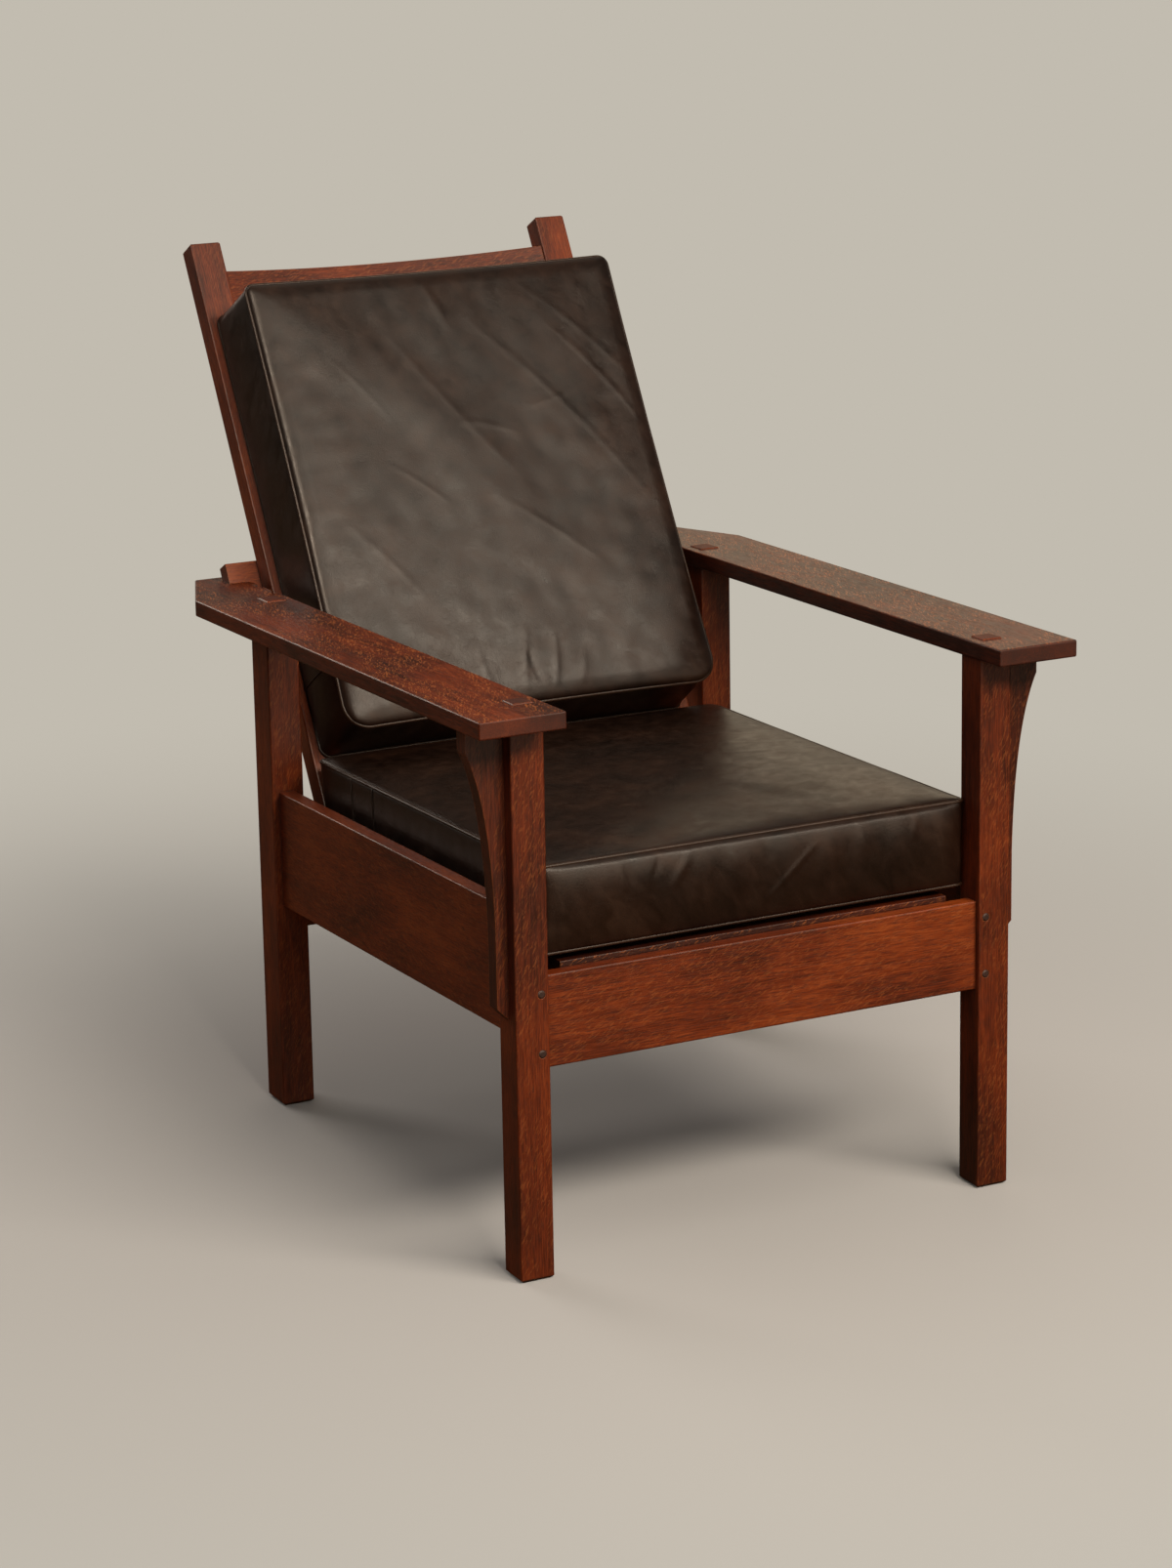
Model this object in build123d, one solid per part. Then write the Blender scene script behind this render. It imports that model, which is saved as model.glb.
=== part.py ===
from build123d import *
import math
import os

os.makedirs("parts", exist_ok=True)

# A reclining armchair in oak with a pivoting back, a notched pair of arms that
# carry a loose crossbar, and two boxed leather cushions.
# Millimetres. The chair is drawn square, with +X to the right seen from the
# front, +Y to the rear and +Z up, and is then tipped back onto its shorter
# rear legs. Left and right are as seen from the front.

# Chair as a whole
leg_span_x = 644.2          # outer face to outer face of the legs
leg_span_y = 684.0          # front face of a front leg to rear face of a rear leg
arm_height = 656.5          # top of the arms above a front foot
rear_foot_drop = 25.0       # how much shorter the rear legs stand
cut_overrun = 5.0           # how far cutters run past a face
glue_line = 0.1             # gap round a glued tenon or let-in end
edge_round = 2.0            # hand-eased arrises of the main timbers
small_round = 1.2           # eased arrises of slats and hidden timbers

# Legs
leg_width = 41.5
front_leg_depth = 40.0
rear_leg_depth = 47.0
foot_bevel = 4.0

# Arms
arm_thickness = 19.8
arm_inner_lap = 4.2         # inside the inner faces of the legs
arm_outer_overhang = 59.1   # outside the outer faces of the legs
arm_front_overhang = 46.0   # past the front legs
arm_rear_overhang = 145.0   # past the rear legs
arm_clip_past_legs = 29.0   # where the outer rear corner starts to be cut off
arm_rear_outer_overhang = 9.9  # outside the legs at the rear end

# Leg tenons that show in the arm tops
arm_tenon_width = 25.0
front_arm_tenon_depth = 25.0
rear_arm_tenon_depth = 29.0
arm_tenon_side_shoulder = 8.3
front_arm_tenon_shoulder = 7.5
rear_arm_tenon_shoulder = 4.0
arm_tenon_proud = 1.5
arm_tenon_bevel = 1.0

# Rails between the legs
rail_thickness = 19.0
front_rail_setback = 6.8
front_rail_bottom = 243.6
front_rail_height = 106.3
rear_rail_setback = 6.8
side_rail_thickness = 20.0
side_rail_setback = 9.1
side_rail_bottom = 280.1
side_rail_height = 143.9
rail_tenon_thickness = 10.0
rail_tenon_shoulder = 12.0
front_rail_tenon = 25.0
side_rail_tenon = 14.0

# Pegs through the front rail tenons
peg_diameter = 9.5
peg_inset = 9.4             # from the inner face of the leg
peg_edge = 19.0             # from the upper and lower edges of the rail
peg_length = 22.5
peg_proud = 1.0
peg_edge_bevel = 1.6

# Corbels under the arms
corbel_thickness = 19.0
corbel_setback = 16.0       # behind the front face of the leg
corbel_reach = 46.0         # at the arm
corbel_lip = 28.0
corbel_stem = 14.0
corbel_drop = 334.0
corbel_sweep = 208.0        # height of the hollow curve
corbel_bow_out_share = 0.09
corbel_bow_down_share = 0.29

# Pivoting back
pivot_ahead_of_legs = 34.5  # ahead of the rear legs, half way up the side rails
back_slope = 28.3           # back from the square of the chair
post_side_gap = 16.5        # between a post and the inner faces of the legs
post_width = 41.0
post_depth = 29.0
post_above_pivot = 790.0
post_top_bevel = 2.0
back_slat_count = 5
back_slat_height = 58.0
back_slat_thickness = 9.5
back_slat_bow = 16.0
back_slat_inset = 3.0       # behind the front faces of the posts, at the ends
back_slat_pitch = 162.0
back_slat_below_top = 39.0
back_slat_tenon = 18.0
back_slat_tenon_thickness = 7.0
back_slat_tenon_shoulder = 6.0

# Turned pins and spools the back swings on
pin_diameter = 12.0         # shaft
pin_in_rail = 13.0
pin_in_post = 28.0
pin_end_bevel = 1.0
pin_running_fit = 0.05      # all round, in the post
spool_diameter = 24.0
spool_end_play = 0.5

# Notches in the arms and the crossbar that drops into them
notch_count = 3
notch_pitch = 42.0
notch_depth = 8.6
notch_clearance = 0.5
bar_thickness = 20.0
bar_height = 48.6           # along its slope
bar_end_gap = 1.5           # between the bar and the bottom of a notch
bar_lip = 21.5              # how far the lips reach past the lower part
bar_to_post = 0.2

# Drop-in slatted seat
seat_frame_side_gap = 28.6  # inside the legs
seat_frame_front_gap = 1.2  # behind the front rail
seat_frame_to_posts = 18.3  # ahead of the foot of the back
seat_frame_rise = 6.1       # above the front rail
seat_frame_thickness = 22.0
seat_member_width = 45.0
seat_member_tenon = 15.0
seat_tenon_thickness = 9.0
seat_slat_count = 5
seat_slat_width = 50.0
seat_slat_thickness = 9.0
seat_slat_lap = 25.0
cleat_width = 19.0
cleat_height = 20.0
cleat_end_gap = 12.0        # short of the legs
bearer_width = 20.0
bearer_height = 40.0
bearer_tenon = 10.0
bearer_tenon_thickness = 10.0
bearer_tenon_shoulder = 6.0
bearer_in_from_rear = 5.0   # from the rear edge of the seat frame

# Cushions
cushion_gap = 0.5           # between leather and its neighbours
seat_cushion_side_gap = 2.6  # to the legs
seat_cushion_to_pivot = 15.5  # at the lower welt
seat_cushion_rake = 19.0    # how much further back the upper welt is
seat_cushion_boxing = 99.0
seat_cushion_crown = 8.5
seat_cushion_sag = 9.6      # crown of the underside
seat_cushion_corner = 16.0
back_cushion_top_inset = 10.1  # inside the outer faces of the posts
back_cushion_low_inset = 6.1
back_cushion_boxing = 101.0
back_cushion_settle = 2.6   # its rear edge sits this far below the seat's top welt
back_cushion_length = 575.0
back_cushion_crown = 16.0
back_cushion_rear_crown = 0.8
back_cushion_top_corner = 14.0
back_cushion_low_corner = 34.0
boxing_draw = 3.0           # how far the sides are drawn in between the welts
case_overrun = 20.0         # the boxing is drawn this far past the welts
# Crown at stations across a cushion, from the middle to the side.
crown_shares = (1.0, 0.8, 0.05)
station_shares = (0.0, 0.5, 1.0)
# How far in the boxing is drawn, at shares of its height.
height_shares = (0.0, 0.25, 0.5, 0.75, 1.0)
draw_shares = (0.0, 0.75, 1.0, 0.75, 0.0)

# Worked-out places
lean = math.asin(rear_foot_drop / leg_span_y)
leg_outer_x = leg_span_x / 2
leg_inner_x = leg_outer_x - leg_width
arm_inner_x = leg_inner_x - arm_inner_lap
arm_outer_x = leg_outer_x + arm_outer_overhang
arm_rear_outer_x = leg_outer_x + arm_rear_outer_overhang
arm_rear_y = leg_span_y + arm_rear_overhang
arm_clip_y = leg_span_y + arm_clip_past_legs
back_half_width = leg_inner_x - post_side_gap
rear_leg_front_y = leg_span_y - rear_leg_depth
pivot_y = rear_leg_front_y - pivot_ahead_of_legs
pivot_height = side_rail_bottom + side_rail_height / 2
arm_under = arm_height - arm_thickness
front_rail_rear_y = front_rail_setback + rail_thickness
side_rail_outer_x = leg_outer_x - side_rail_setback
side_rail_inner_x = side_rail_outer_x - side_rail_thickness
rear_rail_front_y = leg_span_y - rear_rail_setback - rail_thickness
post_inner_x = back_half_width - post_width
post_face = post_depth / 2
slope = math.radians(back_slope)
seat_frame_front_y = front_rail_rear_y + seat_frame_front_gap
seat_frame_rear_y = pivot_y - post_face - seat_frame_to_posts
seat_frame_half_width = leg_inner_x - seat_frame_side_gap
seat_frame_top = front_rail_bottom + front_rail_height + seat_frame_rise
seat_frame_under = seat_frame_top - seat_frame_thickness
bar_front = post_face + bar_to_post
bar_rear = bar_front + bar_thickness
notch_wall_x = arm_inner_x + notch_depth
bar_half_length = notch_wall_x - bar_end_gap


def block(x0, x1, y0, y1, z0, z1):
    """A square-cut timber between two opposite corners."""
    centre = Pos((x0 + x1) / 2, (y0 + y1) / 2, (z0 + z1) / 2)
    return centre * Box(x1 - x0, y1 - y0, z1 - z0)


def eased(solid, axis, size):
    """Rounds the edges of a solid that run along one axis."""
    return fillet(solid.edges().filter_by(axis), size)


def side_profile(outline, x0, x1):
    """Extrudes a face drawn in (y, z) from one x station to another."""
    return extrude(Plane.YZ.offset(x0) * outline, amount=x1 - x0)


def front_profile(outline, y0, y1):
    """Extrudes a face drawn in (x, z) from one y station to another."""
    return extrude(Plane.XZ.offset(-y1) * outline, amount=y1 - y0)


def plan_profile(outline, z0, z1):
    """Extrudes a face drawn in (x, y) from one z station to another."""
    return extrude(Plane.XY.offset(z0) * outline, amount=z1 - z0)


def polygon(*points):
    """A flat face through the given corners."""
    return make_face(Polyline(*points, close=True))


def mirrored(solid):
    """The left-hand twin of a right-hand piece."""
    return mirror(solid, about=Plane.YZ)


def reclined(solid):
    """Places what is drawn about the pivot, upright, at the back's slope."""
    return Pos(0, pivot_y, pivot_height) * Rot(-back_slope, 0, 0) * solid


def in_square(k, t):
    """The (y, z) of a point k behind and t above the pivot on the slope."""
    y = pivot_y + t * math.sin(slope) + k * math.cos(slope)
    z = pivot_height + t * math.cos(slope) - k * math.sin(slope)
    return y, z


def height_on_slope(k, z):
    """How far up the slope a plane k behind the pivot reaches height z."""
    return (z - pivot_height + k * math.sin(slope)) / math.cos(slope)


def floor_height(y):
    """Height of the floor under the tipped chair, before it is tipped."""
    return y * math.tan(lean)


# Legs


def leg(front_y, depth, tenon_front, tenon_depth):
    """A right-hand leg with its foot cut to the floor and a tenon on top."""
    post = block(leg_inner_x, leg_outer_x, front_y, front_y + depth, -rear_foot_drop, arm_under)
    below = polygon(
        (front_y - cut_overrun, floor_height(front_y - cut_overrun)),
        (front_y + depth + cut_overrun, floor_height(front_y + depth + cut_overrun)),
        (front_y + depth + cut_overrun, -rear_foot_drop - cut_overrun),
        (front_y - cut_overrun, -rear_foot_drop - cut_overrun),
    )
    post -= side_profile(below, leg_inner_x - cut_overrun, leg_outer_x + cut_overrun)
    sole = post.faces().sort_by(Axis.Z)[0]
    post = eased(chamfer(sole.edges(), foot_bevel), Axis.Z, edge_round)
    tenon_inner = leg_inner_x + arm_tenon_side_shoulder
    tenon = block(
        tenon_inner,
        tenon_inner + arm_tenon_width,
        tenon_front,
        tenon_front + tenon_depth,
        arm_under - cut_overrun,
        arm_height + arm_tenon_proud,
    )
    tenon = chamfer(tenon.faces().sort_by(Axis.Z)[-1].edges(), arm_tenon_bevel)
    return post + tenon


def rail_tenon_heights(bottom, height):
    """Lower and upper edge of a rail's tenons."""
    return bottom + rail_tenon_shoulder, bottom + height - rail_tenon_shoulder


front_rail_low, front_rail_high = rail_tenon_heights(front_rail_bottom, front_rail_height)
side_rail_low, side_rail_high = rail_tenon_heights(side_rail_bottom, side_rail_height)
front_tenon_y = front_rail_setback + rail_thickness / 2
rear_tenon_y = rear_rail_front_y + rail_thickness / 2
side_tenon_x = side_rail_outer_x - side_rail_thickness / 2
half_tenon = rail_tenon_thickness / 2
front_leg_tenon_y = front_arm_tenon_shoulder
rear_leg_tenon_y = leg_span_y - rear_arm_tenon_shoulder - rear_arm_tenon_depth


def cross_tenon(y, grow, reach):
    """A front or rear rail's tenon, or its mortise when grown."""
    return block(
        leg_inner_x - reach,
        leg_inner_x + front_rail_tenon + grow,
        y - half_tenon - grow,
        y + half_tenon + grow,
        front_rail_low - grow,
        front_rail_high + grow,
    )


def side_tenon(y0, y1, grow):
    """A side rail's tenon, or its mortise when grown."""
    return block(
        side_tenon_x - half_tenon - grow,
        side_tenon_x + half_tenon + grow,
        y0,
        y1,
        side_rail_low - grow,
        side_rail_high + grow,
    )


peg_x = leg_inner_x + peg_inset
peg_heights = (
    front_rail_bottom + peg_edge,
    front_rail_bottom + front_rail_height - peg_edge,
)


def peg(x, z, grow):
    """A peg across a tenon, or its hole when grown."""
    radius = peg_diameter / 2 + grow
    start = -peg_proud
    pin = Pos(x, start, z) * Rot(-90, 0, 0) * Cylinder(
        radius, peg_length + grow, align=(Align.CENTER, Align.CENTER, Align.MIN)
    )
    return pin


front_leg = leg(0, front_leg_depth, front_leg_tenon_y, front_arm_tenon_depth)
front_leg -= cross_tenon(front_tenon_y, glue_line, cut_overrun)
front_leg -= side_tenon(
    front_leg_depth - side_rail_tenon - glue_line, front_leg_depth + cut_overrun, glue_line
)
for z in peg_heights:
    front_leg -= peg(peg_x, z, glue_line)

rear_leg = leg(rear_leg_front_y, rear_leg_depth, rear_leg_tenon_y, rear_arm_tenon_depth)
rear_leg -= cross_tenon(rear_tenon_y, glue_line, cut_overrun)
rear_leg -= side_tenon(
    rear_leg_front_y - cut_overrun, rear_leg_front_y + side_rail_tenon + glue_line, glue_line
)

# Rails


def cross_rail(front_y, tenon_y):
    """A rail between two legs, with a tenon on each end."""
    board = block(
        -leg_inner_x,
        leg_inner_x,
        front_y,
        front_y + rail_thickness,
        front_rail_bottom,
        front_rail_bottom + front_rail_height,
    )
    board = eased(board, Axis.X, edge_round)
    tenon = cross_tenon(tenon_y, 0, cut_overrun)
    return board + tenon + mirrored(tenon)


front_rail = cross_rail(front_rail_setback, front_tenon_y)
for z in peg_heights:
    front_rail -= peg(peg_x, z, glue_line)
    front_rail -= peg(-peg_x, z, glue_line)
rear_rail = cross_rail(rear_rail_front_y, rear_tenon_y)

side_rail = block(
    side_rail_inner_x,
    side_rail_outer_x,
    front_leg_depth,
    rear_leg_front_y,
    side_rail_bottom,
    side_rail_bottom + side_rail_height,
)
side_rail = eased(side_rail, Axis.Y, edge_round)
side_rail += side_tenon(front_leg_depth - side_rail_tenon, front_leg_depth + cut_overrun, 0)
side_rail += side_tenon(rear_leg_front_y - cut_overrun, rear_leg_front_y + side_rail_tenon, 0)


def along_pivot(radius, x0, x1):
    """A cylinder on the pivot's axis between two x stations."""
    rod = Cylinder(radius, x1 - x0, align=(Align.CENTER, Align.CENTER, Align.MIN))
    return Pos(x0, pivot_y, pivot_height) * Rot(0, 90, 0) * rod


pin_radius = pin_diameter / 2
pin_outer_x = side_rail_inner_x + pin_in_rail
pin_inner_x = back_half_width - pin_in_post
side_rail -= along_pivot(
    pin_radius + pin_running_fit, side_rail_inner_x - cut_overrun, pin_outer_x + pin_running_fit
)

pegs = Part()
for x in (-peg_x, peg_x):
    for z in peg_heights:
        one = peg(x, z, 0)
        head = one.faces().sort_by(Axis.Y)[0]
        pegs += chamfer(head.edges(), peg_proud, peg_edge_bevel)

# Arms

arm_outline = polygon(
    (arm_inner_x, -arm_front_overhang),
    (arm_outer_x, -arm_front_overhang),
    (arm_outer_x, arm_clip_y),
    (arm_rear_outer_x, arm_rear_y),
    (arm_inner_x, arm_rear_y),
)
arm = plan_profile(arm_outline, arm_under, arm_height)
arm = fillet(arm.edges(), edge_round)
for tenon_y, tenon_depth in (
    (front_leg_tenon_y, front_arm_tenon_depth),
    (rear_leg_tenon_y, rear_arm_tenon_depth),
):
    arm -= block(
        leg_inner_x + arm_tenon_side_shoulder - glue_line,
        leg_inner_x + arm_tenon_side_shoulder + arm_tenon_width + glue_line,
        tenon_y - glue_line,
        tenon_y + tenon_depth + glue_line,
        arm_under - cut_overrun,
        arm_height + cut_overrun,
    )
notch = reclined(
    block(
        arm_inner_x - cut_overrun,
        notch_wall_x,
        bar_front - notch_clearance,
        bar_rear + notch_clearance,
        height_on_slope(bar_front, arm_under - cut_overrun),
        height_on_slope(bar_rear, arm_height + cut_overrun),
    )
)
for step in range(notch_count):
    arm -= Pos(0, -step * notch_pitch, 0) * notch

# Corbels

corbel_top = arm_under
corbel_foot = corbel_top - corbel_drop
corbel_turn = corbel_top - corbel_lip
corbel_low_turn = corbel_turn - corbel_sweep
corbel_side = [
    Line((leg_outer_x, corbel_foot), (leg_outer_x, corbel_top)),
    Line((leg_outer_x, corbel_top), (leg_outer_x + corbel_reach, corbel_top)),
    Line((leg_outer_x + corbel_reach, corbel_top), (leg_outer_x + corbel_reach, corbel_turn)),
    Bezier(
        (leg_outer_x + corbel_reach, corbel_turn),
        (
            leg_outer_x + corbel_stem + (corbel_reach - corbel_stem) * corbel_bow_out_share,
            corbel_turn - corbel_sweep * corbel_bow_down_share,
        ),
        (leg_outer_x + corbel_stem, corbel_low_turn),
    ),
    Line(
        (leg_outer_x + corbel_stem, corbel_low_turn),
        (leg_outer_x + corbel_stem, corbel_foot + corbel_stem),
    ),
    Line((leg_outer_x + corbel_stem, corbel_foot + corbel_stem), (leg_outer_x, corbel_foot)),
]
corbel = front_profile(
    make_face(Curve() + corbel_side), corbel_setback, corbel_setback + corbel_thickness
)

# Drop-in seat

cleat = block(
    -(leg_inner_x - cleat_end_gap),
    leg_inner_x - cleat_end_gap,
    front_rail_rear_y,
    front_rail_rear_y + cleat_width,
    seat_frame_under - cleat_height,
    seat_frame_under,
)
bearer_rear_y = seat_frame_rear_y - bearer_in_from_rear
bearer_y = bearer_rear_y - bearer_width / 2


def bearer_end(grow, reach):
    """The bearer's tenon in a side rail, or its mortise when grown."""
    return block(
        side_rail_inner_x - reach,
        side_rail_inner_x + bearer_tenon + grow,
        bearer_y - bearer_tenon_thickness / 2 - grow,
        bearer_y + bearer_tenon_thickness / 2 + grow,
        seat_frame_under - bearer_height + bearer_tenon_shoulder - grow,
        seat_frame_under - bearer_tenon_shoulder + grow,
    )


bearer = block(
    -side_rail_inner_x,
    side_rail_inner_x,
    bearer_rear_y - bearer_width,
    bearer_rear_y,
    seat_frame_under - bearer_height,
    seat_frame_under,
)
bearer += bearer_end(0, cut_overrun) + mirrored(bearer_end(0, cut_overrun))
side_rail -= bearer_end(glue_line, cut_overrun)

seat_middle_z = seat_frame_top - seat_frame_thickness / 2
member_inner_x = seat_frame_half_width - seat_member_width
seat_open_front_y = seat_frame_front_y + seat_member_width
seat_open_rear_y = seat_frame_rear_y - seat_member_width


def seat_tenon(y0, y1, grow):
    """A seat side member's tenon, or its mortise when grown."""
    return block(
        member_inner_x + seat_tenon_thickness - grow,
        seat_frame_half_width - seat_tenon_thickness + grow,
        y0,
        y1,
        seat_middle_z - seat_tenon_thickness / 2 - grow,
        seat_middle_z + seat_tenon_thickness / 2 + grow,
    )


def seat_cross_member(y0, y1, mouth_y0, mouth_y1):
    """The front or rear member of the seat frame, mortised at both ends."""
    board = block(
        -seat_frame_half_width, seat_frame_half_width, y0, y1, seat_frame_under, seat_frame_top
    )
    board = eased(board, Axis.X, small_round)
    mouth = seat_tenon(mouth_y0, mouth_y1, glue_line)
    return board - mouth - mirrored(mouth)


seat_front = seat_cross_member(
    seat_frame_front_y,
    seat_open_front_y,
    seat_open_front_y - seat_member_tenon - glue_line,
    seat_open_front_y + cut_overrun,
)
seat_rear = seat_cross_member(
    seat_open_rear_y,
    seat_frame_rear_y,
    seat_open_rear_y - cut_overrun,
    seat_open_rear_y + seat_member_tenon + glue_line,
)
seat_side = block(
    member_inner_x,
    seat_frame_half_width,
    seat_open_front_y,
    seat_open_rear_y,
    seat_frame_under,
    seat_frame_top,
)
seat_side += seat_tenon(
    seat_open_front_y - seat_member_tenon, seat_open_front_y + cut_overrun, 0
)
seat_side += seat_tenon(seat_open_rear_y - cut_overrun, seat_open_rear_y + seat_member_tenon, 0)

slat_end_x = member_inner_x + seat_slat_lap
seat_gap = (
    seat_open_rear_y - seat_open_front_y - seat_slat_count * seat_slat_width
) / (seat_slat_count + 1)


def seat_slat(index, grow, top):
    """A seat slat let into the side members, or its housing when grown."""
    y0 = seat_open_front_y + seat_gap + index * (seat_slat_width + seat_gap)
    return block(
        -slat_end_x - grow,
        slat_end_x + grow,
        y0 - grow,
        y0 + seat_slat_width + grow,
        seat_frame_top - seat_slat_thickness,
        top,
    )


seat_slats = []
for index in range(seat_slat_count):
    seat_slats.append(seat_slat(index, 0, seat_frame_top))
    seat_side -= seat_slat(index, glue_line, seat_frame_top + cut_overrun)

# Pivoting back, drawn upright about the pivot: x across, y to the rear of the
# posts and z up their slope.

post_section = Pos(back_half_width - post_width / 2, 0) * RectangleRounded(
    post_width, post_depth, edge_round
)
post = plan_profile(post_section, -post_face, post_above_pivot)
post = chamfer(post.faces().sort_by(Axis.Z)[-1].edges(), post_top_bevel)
foot_outline = [
    Line((-post_face, 0), (-post_face, post_above_pivot)),
    Line((-post_face, post_above_pivot), (post_face, post_above_pivot)),
    Line((post_face, post_above_pivot), (post_face, 0)),
    ThreePointArc((post_face, 0), (0, -post_face), (-post_face, 0)),
]
post &= side_profile(
    make_face(Curve() + foot_outline), post_inner_x - cut_overrun, back_half_width + cut_overrun
)

bow_radius = (post_inner_x**2 + back_slat_bow**2) / (2 * back_slat_bow)
slat_front = back_slat_inset - post_face
slat_middle = slat_front + back_slat_bow


def bowed_edge(offset):
    """The slat's front or rear edge in plan, from one post to the other."""
    return ThreePointArc(
        (-post_inner_x, slat_front + offset),
        (0, slat_middle + offset),
        (post_inner_x, slat_front + offset),
    )


def back_slat_low(index):
    """Lower edge of a back slat, counted down from the top."""
    top = post_above_pivot - back_slat_below_top
    return top - back_slat_height - index * back_slat_pitch


def back_slat_end(low, grow, reach):
    """A back slat's tenon in the right-hand post, or its mortise when grown."""
    middle = slat_front + back_slat_thickness / 2
    return block(
        post_inner_x - reach,
        post_inner_x + back_slat_tenon + grow,
        middle - back_slat_tenon_thickness / 2 - grow,
        middle + back_slat_tenon_thickness / 2 + grow,
        low + back_slat_tenon_shoulder - grow,
        low + back_slat_height - back_slat_tenon_shoulder + grow,
    )


slat_plan = make_face(
    Curve()
    + [
        bowed_edge(0),
        Line(
            (post_inner_x, slat_front), (post_inner_x, slat_front + back_slat_thickness)
        ),
        bowed_edge(back_slat_thickness),
        Line(
            (-post_inner_x, slat_front + back_slat_thickness), (-post_inner_x, slat_front)
        ),
    ]
)
back_slats = []
for index in range(back_slat_count):
    low = back_slat_low(index)
    slat = plan_profile(slat_plan, low, low + back_slat_height)
    end = back_slat_end(low, 0, 0)
    back_slats.append(slat + end + mirrored(end))
    post -= back_slat_end(low, glue_line, cut_overrun)

post_hole = Rot(0, 90, 0) * Cylinder(
    pin_radius + pin_running_fit,
    pin_in_post + cut_overrun,
    align=(Align.CENTER, Align.CENTER, Align.MIN),
)
post -= Pos(pin_inner_x - spool_end_play, 0, 0) * post_hole

# Pins and spools, on the pivot's axis

pin = along_pivot(pin_radius, pin_inner_x, pin_outer_x)
pin = chamfer(pin.edges().filter_by(GeomType.CIRCLE), pin_end_bevel)

spool = along_pivot(
    spool_diameter / 2, back_half_width + spool_end_play, side_rail_inner_x
)
spool -= along_pivot(
    pin_radius + pin_running_fit, back_half_width - cut_overrun, side_rail_inner_x + cut_overrun
)

# Crossbar: its lower part drops into a pair of notches and its lips rest on
# the arm tops.

bar_low = height_on_slope(bar_front, arm_under)
crossbar = reclined(
    block(
        -bar_half_length - bar_lip,
        bar_half_length + bar_lip,
        bar_front,
        bar_rear,
        bar_low,
        bar_low + bar_height,
    )
)
crossbar = fillet(crossbar.edges().filter_by(Axis.X), small_round)
bar_low_y = in_square(bar_front, bar_low)[0]
bar_high_y = in_square(bar_rear, bar_low + bar_height)[0]
under_lip = block(
    bar_half_length,
    bar_half_length + bar_lip + cut_overrun,
    bar_low_y - bar_thickness,
    bar_high_y + bar_thickness,
    arm_under - arm_thickness,
    arm_height,
)
crossbar -= under_lip + mirrored(under_lip)

# Cushions


def lens(half_width, front_y, rear_y, low, high, low_crown, high_crown):
    """What lies between a cushion's two crowned faces, a little oversize."""
    sections = []
    stations = [-share for share in reversed(station_shares[1:])] + list(station_shares)
    crowns = list(reversed(crown_shares[1:])) + list(crown_shares)
    near_y = front_y - cut_overrun
    far_y = rear_y + cut_overrun
    for station, crown in zip(stations, crowns):
        middle_y = (near_y + far_y) / 2
        edges = [
            ThreePointArc((near_y, low), (middle_y, low - low_crown * crown), (far_y, low)),
            Line((far_y, low), (far_y, high)),
            ThreePointArc((far_y, high), (middle_y, high + high_crown * crown), (near_y, high)),
            Line((near_y, high), (near_y, low)),
        ]
        x = station * (half_width + cut_overrun)
        sections.append(Plane.YZ.offset(x) * make_face(Curve() + edges))
    return loft(sections)


def rounded_plan(front, rear, inset):
    """A cushion's plan at one height; front and rear are (y, half width, corner)."""
    front_y, front_half, front_corner = front
    rear_y, rear_half, rear_corner = rear
    plan = polygon(
        (-front_half + inset, front_y + inset),
        (front_half - inset, front_y + inset),
        (rear_half - inset, rear_y - inset),
        (-rear_half + inset, rear_y - inset),
    )
    plan = fillet(plan.vertices().sort_by(Axis.Y)[:2], front_corner)
    return fillet(plan.vertices().sort_by(Axis.Y)[-2:], rear_corner)


def case(front, rear_low, rear_high, low, high):
    """A cushion's boxing: full size past both welts, drawn in half way up."""
    sections = []
    foot = low - case_overrun
    height = high + case_overrun - foot
    for height_share, draw_share in zip(height_shares, draw_shares):
        rear = tuple(a + (b - a) * height_share for a, b in zip(rear_low, rear_high))
        plan = rounded_plan(front, rear, boxing_draw * draw_share)
        sections.append(Plane.XY.offset(foot + height * height_share) * plan)
    return loft(sections, ruled=True)


seat_cushion_under = seat_frame_top + cushion_gap + seat_cushion_sag
seat_cushion_high = seat_cushion_under + seat_cushion_boxing
seat_cushion_half_width = leg_inner_x - seat_cushion_side_gap
seat_cushion_front_y = seat_frame_front_y
seat_cushion_rear_low_y = pivot_y - seat_cushion_to_pivot
seat_cushion_rear_high_y = seat_cushion_rear_low_y + seat_cushion_rake
seat_lens = lens(
    seat_cushion_half_width,
    seat_cushion_front_y,
    seat_cushion_rear_high_y,
    seat_cushion_under,
    seat_cushion_high,
    seat_cushion_sag,
    seat_cushion_crown,
)
seat_cushion = seat_lens & case(
    (seat_cushion_front_y, seat_cushion_half_width, seat_cushion_corner),
    (seat_cushion_rear_low_y, seat_cushion_half_width, seat_cushion_corner),
    (seat_cushion_rear_high_y, seat_cushion_half_width, seat_cushion_corner),
    seat_cushion_under,
    seat_cushion_high,
)

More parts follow.
